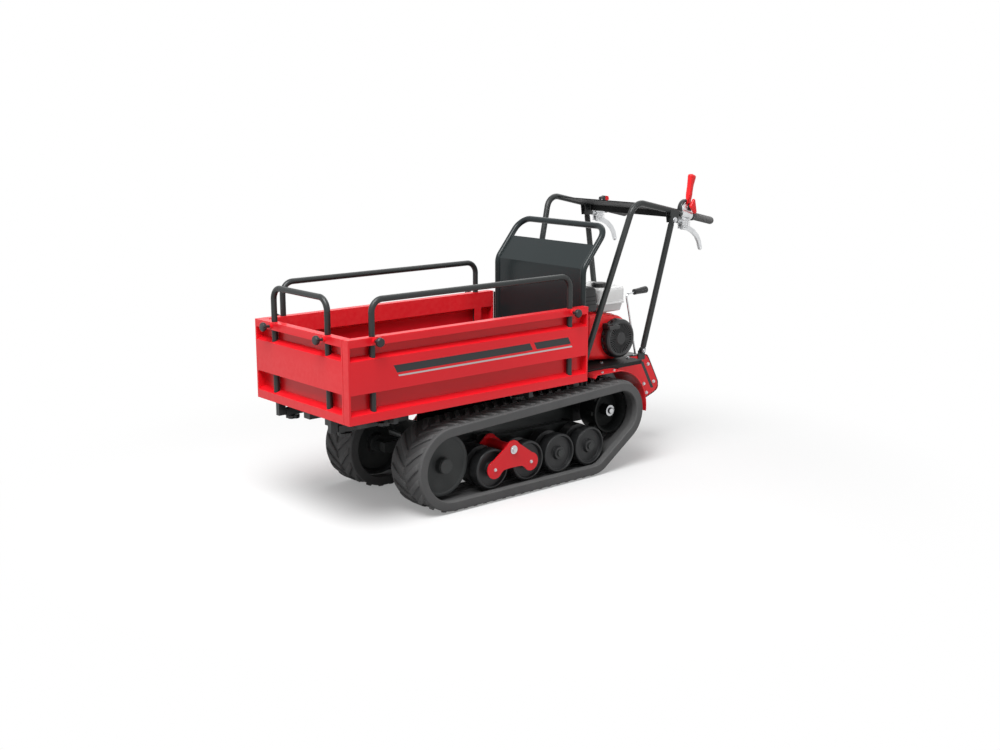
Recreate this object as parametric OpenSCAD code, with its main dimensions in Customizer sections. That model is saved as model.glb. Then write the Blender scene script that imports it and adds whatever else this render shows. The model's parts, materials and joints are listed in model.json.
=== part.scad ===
// Tracked power carrier: a walk-behind machine with two rubber tracks, a tipping
// load tray with sliding sides, a small petrol engine and a two-handed handlebar.
// +X is forward, +Y is left, +Z is up, and the ground is at Z = 0. Millimetres.

/* [Tray] */
// Length over the side panels
tray_len = 1138; // [1000:1:1300]
// Width over the side panels
tray_w = 610; // [580:1:680]
// Rear end of the tray
tray_rear_x = -194; // [-200:1:-185]
// Height of the underside of the panels above the ground
tray_z = 404; // [403:1:430]
// Height of a panel
panel_h = 299; // [280:1:340]
// Depth of a panel from its outer face to its inner face
panel_depth = 33; // [33:1:38]
// Thickness of the pressed sheet
sheet_t = 3; // [2.5:0.1:3.5]
// Height of the bottom rail of a panel
rail_low_h = 32; // [28:1:36]
// Height of the top rail of a panel
rail_top_h = 28; // [26:1:32]
// Height of the lower recess
slot_low_h = 73; // [65:1:80]
// Height of the middle band
band_h = 118; // [100:1:125]
// Rise of the sloped ledge at the foot of each recess
ledge_rise = 13; // [8:1:16]
// Thickness of a panel's end cap
cap_t = 8; // [5:1:12]
// Gap between neighbouring panels, and between the panels and the floor
panel_gap = 2; // [1.5:0.5:4]

/* [Hoops] */
// Diameter of the hoop tube
hoop_d = 22; // [20:1:22]
// Height of the hoop's top bar over the panel's top
hoop_rise = 127; // [110:1:150]
// Bend radius of the hoop, to the middle of the tube
hoop_bend_r = 45; // [35:1:55]
// Depth of the hoop's legs behind the outer face
hoop_depth = 17; // [16:0.5:18]
// Distance of a side hoop's front leg from the tray's front
side_leg_front = 112; // [100:1:130]
// Distance of a side hoop's rear leg from the tray's rear
side_leg_rear = 86; // [75:1:100]
// Distance between the front hoop's legs
front_leg_pitch = 352; // [300:1:380]
// Gap between a leg and its hole
leg_gap = 0.5; // [0.3:0.1:0.8]
// Diameter of a clamp knob's head
knob_d = 33; // [28:1:38]
// Thickness of a clamp knob's head
knob_t = 18; // [14:1:22]
// How far a knob's outer face stands off the panel
knob_reach = 40; // [34:1:46]
// Diameter of a knob's screw
screw_d = 10; // [8:1:12]

/* [Bed] */
// Thickness of the floor plate
floor_t = 3; // [2:0.5:4]
// Outside of the square slide sleeves
sleeve_w = 26; // [24:1:28]
// Wall of the sleeves
sleeve_t = 2.5; // [2:0.1:3]
// Gap between a slide bar and its sleeve, each side
slide_gap = 0.5; // [0.3:0.1:1]
// Place of the left panel's front slide, behind the tray's front
slide_front_in = 199; // [150:1:230]
// Distance between a side panel's two slides
slide_pitch = 640; // [500:10:680]
// Distance between the left slides and the right ones beside them
slide_stagger = 40; // [32:1:60]
// Gap between the front panel's sleeves and the knobs of the side slides
front_sleeve_gap = 10; // [6:1:30]
// Half the distance between the bed's long rails
bed_rail_y = 70; // [55:1:80]
// Diameter of the flat knobs under the bed
slide_knob_d = 52; // [40:1:60]
// Height of the tipping hinge
hinge_z = 335; // [325:1:338]
// Place of the tipping hinge along the machine
hinge_x = 640; // [620:1:660]
// Diameter of the hinge pin
hinge_d = 20; // [16:1:24]

/* [Backrest] */
// Diameter of the backrest tube
back_tube_d = 25; // [22:1:28]
// Gap between the backrest's tubes and the side panels
back_side_gap = 1.5; // [1:0.5:20]
// Height where the backrest bends rearward
back_bend_z = 845; // [800:1:880]
// Height of the top bar
back_top_z = 1004; // [960:1:1040]
// How far the top bar lies behind the uprights
back_lean = 132; // [100:1:160]
// Distance of the uprights behind the tray's rear
back_set = 14; // [13.5:0.5:20]
// Share of the leaning part that the plate covers
back_cover = 0.56; // [0.4:0.02:0.7]
// Thickness of the backrest plate
back_plate_t = 4; // [3:0.5:6]

/* [Tracks] */
// Middle of the track across the machine
track_y = 220; // [215:1:225]
// Width of a track
track_w = 180; // [160:1:184]
// Thickness of the belt under the lugs
belt_t = 36; // [30:1:38]
// Height of the lugs
lug_h = 8; // [6:0.5:10]
// Length of a lug along the belt
lug_len = 22; // [16:1:28]
// Pitch of the lugs
lug_pitch = 62; // [52:1:80]
// Yaw of a lug's two halves
lug_yaw = 20; // [0:1:24]
// Running radius of the idler
idler_r = 124; // [118:1:126]
// Place of the idler along the machine
idler_x = 488; // [470:1:500]
// Running radius of the sprocket
sprocket_r = 92; // [88:1:96]
// Place of the sprocket along the machine
sprocket_x = -389; // [-400:1:-380]
// Height of the sprocket
sprocket_z = 241; // [236:1:246]
// Radius of the road rollers
roller_r = 79; // [74:1:82]
// Width of a road roller
roller_w = 118; // [100:1:122]
// Places of the four road rollers along the machine, front to rear
roller_x = [279, 96, -72, -240];
// Gap between a wheel and the belt
wheel_gap = 0.4; // [0.3:0.1:0.8]
// Width of the belt's inner groove for the sprocket teeth
groove_w = 44; // [36:1:52]
// Depth of that groove
groove_depth = 15; // [12:1:18]
// Number of teeth on a sprocket
teeth = 10; // [8:1:12]
// Radial clearance of the wheels, levers and screws on their pins
run_gap = 0.05; // [0.02:0.01:0.1]
// Diameter of the wheel axles
axle_d = 24; // [20:1:28]
// Height of the bogie pivot over the roller axles
bogie_rise = 64; // [58:1:70]
// Radius of the bogie's rounded ends
bogie_lobe_r = 36; // [32:1:38]
// Thickness of a bogie plate
bogie_t = 6; // [5:0.5:8]

/* [Chassis] */
// Outer face of the track frame beams
beam_y = 125; // [118:1:126]
// Width of a beam
beam_w = 40; // [30:1:46]
// Height of a beam
beam_h = 50; // [40:1:56]
// Underside of the beams
beam_z = 146; // [140:1:150]
// Underside of the engine deck
deck_z = 408; // [404:1:412]
// Thickness of the engine deck's rim
deck_h = 16; // [12:1:20]
// Half the width of the engine deck
deck_half_w = 225; // [215:1:235]
// Front edge of the engine deck
deck_front_x = -250; // [-255:1:-245]
// Rear edge of the engine deck
deck_rear_x = -604; // [-615:1:-600]
// Outer face of the rear side plates
plate_y = 122; // [118:1:124]
// Thickness of the rear side plates
plate_t = 5; // [4:0.5:6]
// Radius of the mudguards over the sprocket
guard_r = 171; // [165:1:176]
// Thickness of the mudguards
guard_t = 3; // [2:0.5:4]
// Outer edge of the mudguards
guard_y = 285; // [265:1:295]
// Front end of the mudguards
guard_front_x = -272; // [-280:1:-262]

/* [Engine] */
// Place of the crankshaft along the machine
crank_x = -504; // [-510:1:-498]
// Height of the crankshaft over the deck
crank_h = 98; // [94:1:104]
// Outer face of the recoil cover
recoil_y = 190; // [180:1:200]
// Radius of the recoil cover
recoil_r = 82; // [76:1:86]
// Depth of the recoil cover
recoil_depth = 40; // [32:1:48]
// Underside of the fuel tank over the deck
tank_lift = 206; // [203:1:212]
// Height of the fuel tank
tank_h = 105; // [95:1:115]
// Length of the fuel tank along the machine
tank_len = 150; // [140:1:154]
// Width of the fuel tank
tank_w = 210; // [190:1:225]
// Radius of the fuel cap
fuel_cap_r = 33; // [28:1:38]

/* [Handlebar] */
// Diameter of the handlebar tube
bar_d = 25; // [22:1:28]
// Half the distance between the two rails
bar_half_w = 254; // [240:1:260]
// Place of the bend, where the front tube and the rail would meet
bar_bend_x = -498; // [-505:1:-490]
// Height of that bend
bar_bend_z = 1097; // [1085:1:1110]
// Slope of the rail, falling to the rear
bar_slope = 12.6; // [10:0.1:14]
// Bend radius of the handlebar
bar_bend_r = 60; // [50:1:75]
// Rear end of the grips
grip_end_x = -984; // [-1000:1:-960]
// Length of a grip
grip_len = 136; // [120:1:145]
// Diameter of a grip
grip_d = 32; // [30:1:36]
// Foot of a front tube along the machine
bar_foot_x = -289; // [-295:1:-284]
// Foot of a front tube across the machine
bar_foot_y = 181; // [170:1:190]
// Diameter of the struts
strut_d = 25; // [22:1:26]
// Place of the clevis at the top of a strut
clevis_x = -727; // [-735:1:-720]
// Drop of the clevis bolt under the rail
clevis_drop = 36; // [34:1:40]
// Place of the bolt at the foot of a strut
strut_foot_x = -697; // [-705:1:-690]
// Height of that bolt
strut_foot_z = 440; // [438:1:446]
// Place of the lever perches
perch_x = -800; // [-806:1:-796]

/* [Hidden] */
$fn = 64;
red = [0.90, 0.13, 0.16];
black = [0.13, 0.14, 0.14];
dark_grey = [0.22, 0.24, 0.24];
rubber_grey = [0.30, 0.30, 0.30];
light_grey = [0.86, 0.86, 0.86];
steel = [0.72, 0.73, 0.74];

// Growth of a tube's radius in its bends
bend_swell = 0.15;

// Derived places of the tray
tray_front_x = tray_rear_x + tray_len;
half_w = tray_w / 2;
band_z = rail_low_h + slot_low_h;
upper_slot_z = band_z + band_h;
rail_top_z = panel_h - rail_top_h;
recess_d = panel_depth - sheet_t;
panel_top_z = tray_z + panel_h;
inner_y = half_w - panel_depth;
front_inner_x = tray_front_x - panel_depth;
front_panel_len = tray_w - panel_depth - panel_gap;
front_mid_y = -(panel_depth + panel_gap) / 2;
right_panel_len = tray_len - panel_depth - panel_gap;
floor_half_w = inner_y - panel_gap;
floor_front_x = front_inner_x - panel_gap;
back_half_w = inner_y - back_tube_d / 2 - back_side_gap;
wing_reach = 13;
post_w = 36;
leg_foot = 8;
knob_h = panel_h - rail_top_h / 2;
screw_gap = 1;
screw_in = hoop_depth - hoop_d / 2 - screw_gap;
boss_d = 20;
boss_t = 6;
side_legs_x = [tray_front_x - side_leg_front, tray_rear_x + side_leg_rear];
front_legs_y = [front_mid_y + front_leg_pitch / 2, front_mid_y - front_leg_pitch / 2];

// Derived places of the bed
slide_w = sleeve_w - 2 * sleeve_t - 2 * slide_gap;
sleeve_top_z = tray_z;
slide_z = sleeve_top_z - sleeve_w / 2;
rail_b_z = sleeve_top_z - 1.5 * sleeve_w;
bed_low_z = sleeve_top_z - 2 * sleeve_w;
bed_rail_w = 40;
sleeve_inner_y = -30;
slide_inner_y = 30;
slide_foot_in = 4;
left_slides_x = [tray_front_x - slide_front_in, tray_front_x - slide_front_in - slide_pitch];
right_slides_x = [for (x = left_slides_x) x - slide_stagger];
front_sleeve_len = 305;
front_slide_len = 285;
slide_knob_t = 12;
slide_knob_neck = 3;
front_knob_in = 74;
side_knob_in = 48;
front_slide_y = floor_half_w - side_knob_in - slide_knob_d / 2 - sleeve_w / 2 - front_sleeve_gap;
hinge_lug_t = 8;
hinge_lug_r = 19;
hinge_lug_y = bed_rail_y - bed_rail_w / 2;
tower_gap = 0.5;
tower_t = 10;
upright_t = 8;

// Derived places of the tracks
idler_z = idler_r + belt_t + lug_h;
roller_z = roller_r + belt_t + lug_h;
track_out_y = track_y + track_w / 2;
track_in_y = track_y - track_w / 2;
bogie_x = (roller_x[0] + roller_x[1]) / 2;
bogie_z = roller_z + bogie_rise;
bogie_out_y = track_out_y - 16;
bogie_in_y = track_in_y + 18;
roller_mid_y = (bogie_out_y - bogie_t + bogie_in_y + bogie_t) / 2;
wheel_out_y = roller_mid_y + roller_w / 2;
loop = [[idler_x, idler_z, idler_r], [sprocket_x, sprocket_z, sprocket_r],
        [roller_x[3], roller_z, roller_r]];
roller_axle_d = axle_d - 4;
washer_d = 34;
arch_drop = 7;
guard_in_y = track_in_y + 12;
idler_out_y = track_y + 16;
idler_in_y = track_y - 45;
idler_dish = 4;
idler_boss = 24;
idler_boss_r = 30;
sprocket_out_y = track_y + 24;
tooth_h = groove_depth - 3;
arc_step = 5;
lug_reach = lug_len / 2 / cos(lug_yaw) + track_w / 4 * tan(lug_yaw);

// Derived places of the chassis, the engine and the handlebar
beam_in_y = beam_y - beam_w;
beam_top_z = beam_z + beam_h;
frame_plate_t = 6;
frame_plate_z = beam_top_z + 94;
deck_top_z = deck_z + deck_h;
crank_z = deck_top_z + crank_h;
plate_front_x = deck_rear_x + 44;
plate_step_x = deck_rear_x - 8;
plate_shoulder_x = -744;
plate_rear_x = -809;
plate_top_z = deck_top_z - 8;
plate_low_z = 225;
cover_t = 3;
gearbox_top_z = sprocket_z + 110;
gearbox_half_w = beam_in_y - 11;
tail_rear_x = plate_shoulder_x - 6;
tail_half_w = plate_y - plate_t - 8;
tank_z = deck_top_z + tank_lift;
tank_rear_x = crank_x - 64;
tank_left_y = recoil_y - recoil_depth;
seam_h = 38;
intake_reach = 196;
intake_gap = 4;
shroud_top_z = crank_z + 117;
cap_x = tank_rear_x + tank_len / 2 + 35;
cap_y = tank_left_y - 50;
rest_x = tray_rear_x + 46;
rest_pad_t = 8;
bar_tan = tan(bar_slope);
grip_ball_x = grip_end_x + grip_d / 2;
grip_start_x = grip_end_x + grip_len;
lever_pivot = [perch_x, rail_z(perch_x) - 55];
lever_pin_d = 8;
thumb_pivot = [perch_x - 22, rail_z(perch_x - 22) + 38];
lever_t = 12;
throttle_lean = 66;
cheek_t = 5;
cheek_gap = 1;
gear_pivot = [strut_foot_x, plate_top_z - 11];
gear_y = 90;
pull_x = crank_x + 62;
pull_z = crank_z + 56;

// Helpers
function unit(v) = v / norm(v);
function rail_z(x) = bar_bend_z + (x - bar_bend_x) * bar_tan;
// Unit outward normal of the straight run from circle a to circle b of a loop
function run_normal(a, b) =
    let (d = [b[0] - a[0], b[1] - a[1]], e = unit(d), k = (a[2] - b[2]) / norm(d))
    [e[0] * k + e[1] * sqrt(1 - k * k), e[1] * k - e[0] * sqrt(1 - k * k)];
function on_circle(c, n, extra) = [c[0] + n[0] * (c[2] + extra), c[1] + n[1] * (c[2] + extra)];
function next_of(i) = (i + 1) % len(loop);
function before(i) = (i + len(loop) - 1) % len(loop);
function angle_of(n) = atan2(n[1], n[0]);
function wrap(a) = a < 0 ? a + 360 : a;
function arc_start(i) = angle_of(run_normal(loop[before(i)], loop[i]));
function arc_span(i) = wrap(angle_of(run_normal(loop[i], loop[next_of(i)])) - arc_start(i));
// Outline of the belt loop, grown outward by extra, in steps of arc_step on the wheels
function loop_points(extra) = [for (i = [0 : len(loop) - 1])
    let (count = ceil(arc_span(i) / arc_step))
    for (k = [0 : count])
        let (t = arc_start(i) + arc_span(i) * k / count)
        on_circle(loop[i], [cos(t), sin(t)], extra)];

// One side of a blade along a path, at the given half widths
function blade_side(path, half, s) = [for (i = [0 : len(path) - 1])
    let (d = unit(path[min(i + 1, len(path) - 1)] - path[max(i - 1, 0)]))
    path[i] + s * half[i] * [-d[1], d[0]]];
function flipped(list) = [for (i = [len(list) - 1 : -1 : 0]) list[i]];

module sided(s) {
    if (s > 0) children();
    else mirror([0, 1, 0]) children();
}

module both() {
    for (s = [1, -1]) sided(s) children();
}

// Extrudes an outline of (x, z) points from y0 to y1
module along_y(y0, y1) {
    translate([0, y1, 0]) rotate([90, 0, 0]) linear_extrude(y1 - y0) children();
}

module cyl_y(x, z, d, y0, y1) {
    translate([x, y0, z]) rotate([-90, 0, 0]) cylinder(d = d, h = y1 - y0);
}

module cyl_z(x, y, d, z0, z1) {
    translate([x, y, z0]) cylinder(d = d, h = z1 - z0);
}

module block(a, b) {
    translate(a) cube(b - a);
}

module rod(a, b, d) {
    v = b - a;
    translate(a) rotate([0, acos(v[2] / norm(v)), atan2(v[1], v[0])]) cylinder(d = d, h = norm(v));
}

// One bend of a tube at the corner p, between directions u and v
module elbow(p, u, v, r, d) {
    turn = acos(u * v);
    w = unit(v - (u * v) * u);
    n = cross(u, w);
    tip = acos(n[2]);
    spin = atan2(n[1], n[0]);
    ex = [cos(spin) * cos(tip), sin(spin) * cos(tip), -sin(tip)];
    ey = [-sin(spin), cos(spin), 0];
    translate(p - u * r * tan(turn / 2) + w * r) rotate([0, tip, spin])
        rotate([0, 0, atan2(-w * ey, -w * ex)])
            rotate_extrude(angle = turn) translate([r, 0]) circle(d = d);
}

// A round tube through the given corners, with a bend of radius r at each inner one
module bent_tube(pts, r, d) {
    last = len(pts) - 1;
    dirs = [for (i = [0 : last - 1]) unit(pts[i + 1] - pts[i])];
    trims = [for (i = [0 : last])
        i == 0 || i == last ? 0 : r * tan(acos(dirs[i - 1] * dirs[i]) / 2)];
    lap = 1;
    for (i = [0 : last - 1])
        rod(pts[i] + dirs[i] * (trims[i] > 0 ? trims[i] - lap : 0),
            pts[i + 1] - dirs[i] * (trims[i + 1] > 0 ? trims[i + 1] - lap : 0), d);
    for (i = [1 : 1 : last - 1]) elbow(pts[i], dirs[i - 1], dirs[i], r, d + 2 * bend_swell);
}

module hex_bolt(size, h) {
    cylinder(d = size * 1.8, h = h, $fn = 6);
    cylinder(d = size * 2.2, h = h * 0.3);
}

// Panels: length along +X, outer face at Y = 0, inner face towards -Y, underside at Z = 0
module panel_profile() {
    translate([-panel_depth, 0]) square([panel_depth, sheet_t]);
    translate([-sheet_t, 0]) square([sheet_t, rail_low_h]);
    ledge(rail_low_h);
    translate([-panel_depth, rail_low_h + ledge_rise - sheet_t])
        square([sheet_t, band_z + 2 * sheet_t - rail_low_h - ledge_rise]);
    translate([-panel_depth, band_z]) square([panel_depth, sheet_t]);
    translate([-sheet_t, band_z]) square([sheet_t, band_h]);
    ledge(upper_slot_z);
    translate([-panel_depth, upper_slot_z + ledge_rise - sheet_t])
        square([sheet_t, panel_h - upper_slot_z - ledge_rise + sheet_t]);
    translate([-panel_depth, rail_top_z]) square([panel_depth, sheet_t]);
    translate([-sheet_t, rail_top_z]) square([sheet_t, rail_top_h]);
    translate([-panel_depth, panel_h - sheet_t]) square([panel_depth, sheet_t]);
}

module ledge(z) {
    top = z + ledge_rise;
    polygon([[0, z - sheet_t], [0, z], [-panel_depth, top], [-panel_depth, top - sheet_t]]);
}

module panel_sheet(length, legs) {
    difference() {
        union() {
            rotate([90, 0, 90]) linear_extrude(length) panel_profile();
            for (x = [0, length - cap_t]) block([x, -panel_depth, 0], [x + cap_t, 0, panel_h]);
            for (x = legs) {
                block([x - post_w / 2, -panel_depth, band_z],
                      [x + post_w / 2, -recess_d, rail_top_z]);
                translate([x, 0, knob_h]) rotate([-90, 0, 0]) cylinder(d = boss_d, h = boss_t);
            }
        }
        for (x = legs) {
            cyl_z(x, -hoop_depth, hoop_d + 2 * leg_gap, leg_foot - sheet_t, panel_h + 1);
            translate([x, -sheet_t - 1, knob_h]) rotate([-90, 0, 0])
                cylinder(d = screw_d + 2 * run_gap, h = sheet_t + boss_t + 2);
        }
    }
}

// The U of a hoop, with its middle at the origin's X and its legs along -Z
module hoop_shape(pitch, leg_len) {
    bent_tube([[-pitch / 2, 0, -leg_len], [-pitch / 2, 0, 0], [pitch / 2, 0, 0], [pitch / 2, 0, -leg_len]],
              hoop_bend_r, hoop_d);
}

// A knob whose screw points to -Y, with the panel's outer face at Y = 0
module knob_shape() {
    translate([0, knob_reach - knob_t, 0]) rotate([-90, 0, 0]) difference() {
        rotate_extrude() polygon([[0, 0], [knob_d * 0.36, 0], [knob_d / 2, knob_t * 0.3],
                                  [knob_d / 2, knob_t * 0.8], [knob_d * 0.4, knob_t], [0, knob_t]]);
        for (a = [0 : 60 : 300])
            rotate(a) translate([knob_d * 0.6, 0, -1]) cylinder(d = knob_d * 0.3, h = knob_t + 2);
    }
    translate([0, -screw_in, 0]) rotate([-90, 0, 0])
        cylinder(d = screw_d, h = screw_in + knob_reach - knob_t);
}

module sleeve(a, b, axis) {
    inner = sleeve_w / 2 - sleeve_t;
    cut = axis == 0 ? [1, 0, 0] : [0, 1, 0];
    side = [1, 1, 1] - cut;
    difference() {
        block(a - side * sleeve_w / 2, b + side * sleeve_w / 2);
        block(a - side * inner - cut, b + side * inner + cut);
    }
}

// Solid outline of the belt loop, grown outward by extra
module loop_block(extra, y0, y1) {
    along_y(y0, y1) polygon(loop_points(extra));
}

// One lug of height h at the point p of the belt's outer face, with outward normal n
module lug(p, n, h) {
    sink = 3.5;
    half = track_w / 2;
    for (s = [1, -1])
        translate([p[0], track_y, p[1]]) rotate([0, atan2(n[0], n[1]), 0])
            intersection() {
                translate([-lug_pitch / 2, s > 0 ? 0 : -half, -sink]) cube([lug_pitch, half, h + sink]);
                translate([-lug_len / 2 / cos(lug_yaw) + half / 2 * tan(lug_yaw), 0, -sink])
                    rotate([0, 0, s * lug_yaw])
                    translate([0, -track_w, 0]) cube([lug_len, 2 * track_w, h + sink]);
            }
}

module belt_track() {
    difference() {
        loop_block(belt_t, track_in_y, track_out_y);
        loop_block(0, track_in_y - 1, track_out_y + 1);
        loop_block(groove_depth, track_y - groove_w / 2, track_y + groove_w / 2);
    }
    for (i = [0 : len(loop) - 1]) {
        a = loop[i];
        b = loop[next_of(i)];
        n = run_normal(a, b);
        p = on_circle(a, n, belt_t);
        q = on_circle(b, n, belt_t);
        count = max(1, round(norm(q - p) / lug_pitch));
        for (k = [0 : count - 1]) lug(p + (q - p) * (k + 0.5) / count, n, lug_h);
        start = arc_start(i);
        span = arc_span(i);
        arc_count = max(1, round((a[2] + belt_t) * span * PI / 180 / lug_pitch));
        tip_r = a[2] + belt_t + lug_h;
        for (k = [0 : arc_count - 1]) {
            t = start + span * (k + 0.5) / arc_count;
            m = [cos(t), sin(t)];
            lug(on_circle(a, m, belt_t), m, sqrt(pow(tip_r, 2) - pow(lug_reach, 2)) - a[2] - belt_t);
        }
    }
}

// A wheel turned about Y from (radius, y) points, with a bore on the axle
module turned(x, z, outline) {
    translate([x, 0, z]) rotate([-90, 0, 0]) rotate_extrude() polygon(outline);
}

module roller(i) {
    bore = roller_axle_d / 2 + run_gap;
    out = wheel_out_y;
    inn = roller_mid_y - roller_w / 2;
    r = roller_r - wheel_gap;
    face = out - 14;
    turned(roller_x[i], roller_z, [
        [bore, inn], [30, inn], [34, inn + 14], [r - 16, inn + 14], [r - 10, inn], [r, inn],
        [r, roller_mid_y - 16], [r - 14, roller_mid_y - 12], [r - 14, roller_mid_y + 12],
        [r, roller_mid_y + 16],
        [r, out - 4], [r - 4, out], [r - 9, out], [r - 13, face], [28, face], [25, out], [bore, out]]);
}

module sprocket() {
    r = sprocket_r - wheel_gap;
    root = 62;
    drum_in = track_y - 62;
    drum_out = track_y + groove_w / 2 + 4;
    dish = track_y - 8;
    face = sprocket_out_y;
    difference() {
        union() {
            turned(sprocket_x, sprocket_z, [
                [0, drum_in], [r, drum_in], [r, drum_out], [r - 8, drum_out], [root + 14, dish + 10],
                [root + 12, dish - 10], [0, dish - 10]]);
            for (k = [0 : teeth - 1])
                translate([sprocket_x, 0, sprocket_z]) rotate([0, k * 360 / teeth, 0])
                    block([r - 2, track_y - groove_w / 2 + 4, -7],
                          [r + tooth_h, track_y + groove_w / 2 - 4, 7]);
            cyl_y(sprocket_x, sprocket_z, 46, dish - 11, face);
            cyl_y(sprocket_x, sprocket_z, 34, beam_in_y - 30, drum_in + 1);
        }
        turned(sprocket_x, sprocket_z, [[24, drum_in - 1], [r - 8, drum_in - 1], [root + 12, dish - 24],
            [24, dish - 24]]);
    }
    translate([sprocket_x, face, sprocket_z]) rotate([-90, 0, 0]) hex_bolt(12, 8);
}

module idler() {
    bore = axle_d / 2 + run_gap;
    r = idler_r - wheel_gap;
    out = idler_out_y;
    face = out - idler_dish;
    turned(idler_x, idler_z, [
        [bore, idler_in_y], [36, idler_in_y], [40, idler_in_y + 22], [r - 18, idler_in_y + 22],
        [r - 12, idler_in_y], [r, idler_in_y], [r, out - 4], [r - 4, out], [r - 12, out], [r - 18, face],
        [idler_boss_r + 2, face], [idler_boss_r, face + idler_boss], [bore, face + idler_boss]]);
}

// Outline of a bogie plate: round lobes on the pivot and both axles, and a web with a shallow arch
module bogie_outline() {
    for (i = [0, 1]) translate([roller_x[i], roller_z]) circle(r = bogie_lobe_r);
    translate([bogie_x, bogie_z]) circle(r = bogie_lobe_r);
    k = bogie_lobe_r * 0.92;
    for (i = [0, 1]) {
        v = unit([roller_x[i] - bogie_x, roller_z - bogie_z]);
        n = [-v[1], v[0]] * k;
        a = [bogie_x, bogie_z];
        b = [roller_x[i], roller_z];
        polygon([a + n, b + n, b - n, a - n]);
    }
    half_pitch = (roller_x[0] - roller_x[1]) / 2;
    arch = [for (t = [-0.8 : 0.1 : 0.81])
        [bogie_x + half_pitch * t, roller_z - arch_drop - bogie_lobe_r * pow(t, 4)]];
    polygon(concat([[bogie_x, bogie_z]], arch));
}

module bogie() {
    difference() {
        union() {
            along_y(bogie_out_y - bogie_t, bogie_out_y) bogie_outline();
            along_y(bogie_in_y, bogie_in_y + bogie_t) bogie_outline();
            cyl_y(bogie_x, bogie_z, axle_d + 16, bogie_in_y - 6, bogie_out_y);
            for (i = [0, 1]) {
                cyl_y(roller_x[i], roller_z, roller_axle_d, bogie_in_y, bogie_out_y);
                translate([roller_x[i], bogie_out_y, roller_z]) rotate([-90, 0, 0]) hex_bolt(6, 5);
            }
        }
        cyl_y(bogie_x, bogie_z, axle_d + 2 * run_gap, bogie_in_y - 10, bogie_out_y + 10);
    }
}

// Sub-parts of the chassis
module chassis_frame() color(dark_grey) {
    cross_x = [roller_x[0] - 19, roller_x[3] - 40];
    for (x = cross_x) block([x, -beam_in_y, beam_z], [x + 50, beam_in_y, beam_top_z]);
    for (x = [40, rest_x - 15]) block([x, -beam_in_y, beam_z], [x + 30, beam_in_y, beam_z + 30]);
    block([cross_x[1], -50, beam_z], [cross_x[0] + 50, 50, beam_z + 6]);
    tower_y = hinge_lug_y - tower_gap;
    both() {
        difference() {
            along_y(tower_y - tower_t, tower_y) union() {
                polygon([[cross_x[0], beam_z], [cross_x[0] + 50, beam_z], [hinge_x + 16, hinge_z - 10],
                         [hinge_x - 16, hinge_z + 10], [cross_x[0], beam_top_z + 30]]);
                translate([hinge_x, hinge_z]) circle(d = 2 * hinge_lug_r - 6);
            }
            cyl_y(hinge_x, hinge_z, hinge_d + 2 * run_gap, 0, tower_y + 1);
        }
        block([rest_x - 20, bed_rail_y - 15, beam_z], [rest_x + 20, bed_rail_y + 15, bed_low_z - rest_pad_t]);
        cyl_z(rest_x, bed_rail_y, 34, bed_low_z - rest_pad_t, bed_low_z);
        along_y(beam_in_y - upright_t, beam_in_y) polygon([[cross_x[1] + 40, beam_top_z],
            [cross_x[1] + 40, beam_z], [sprocket_x + 60, beam_z], [sprocket_x + 60, beam_top_z],
            [-320, deck_z], [-256, deck_z]]);
    }
    block([cross_x[1], -beam_in_y, beam_top_z], [cross_x[1] + 12, beam_in_y, beam_top_z + 40]);
    cyl_y(hinge_x - 120, hinge_z - 85, 28, -tower_y + tower_t, tower_y - tower_t);
}

module track_frames() color(dark_grey) both() {
    block([roller_x[3] - 40, beam_in_y, beam_z], [roller_x[0] + 90, beam_y, beam_top_z]);
    cyl_y(bogie_x, bogie_z, axle_d, beam_y - 1, bogie_out_y + 1);
    cyl_y(bogie_x, bogie_z, washer_d, bogie_out_y + 0.4, bogie_out_y + 5);
    translate([bogie_x, bogie_out_y + 5, bogie_z]) rotate([-90, 0, 0]) hex_bolt(10, 7);
    block([bogie_x - 40, beam_in_y, beam_top_z], [bogie_x + 40, beam_y, bogie_z + 30]);
    block([roller_x[3] - 30, beam_in_y, beam_top_z - 1],
          [roller_x[0] + 80, beam_in_y + frame_plate_t, frame_plate_z]);
    for (i = [2, 3]) {
        block([roller_x[i] - 20, beam_in_y, roller_z - 20], [roller_x[i] + 20, beam_y, beam_z]);
        cyl_y(roller_x[i], roller_z, roller_axle_d, beam_y, wheel_out_y + 1);
        cyl_y(roller_x[i], roller_z, roller_axle_d + 10, beam_y, roller_mid_y - roller_w / 2 - wheel_gap);
        cyl_y(roller_x[i], roller_z, roller_axle_d + 8, wheel_out_y + wheel_gap, wheel_out_y + 6);
    }
}

module tensioners() color(black) both() {
    fork_x = roller_x[0] + 90;
    block([fork_x, beam_in_y + 6, beam_z + 8], [idler_x + 30, beam_y - 4, beam_top_z - 4]);
    cyl_y(idler_x, idler_z, axle_d + 16, beam_in_y + 6, idler_in_y - wheel_gap);
    boss_end = idler_out_y - idler_dish + idler_boss;
    cyl_y(idler_x, idler_z, axle_d, beam_in_y + 6, boss_end + 1);
    cyl_y(idler_x, idler_z, 2 * idler_boss_r - 4, boss_end + wheel_gap, boss_end + 5);
}

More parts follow.
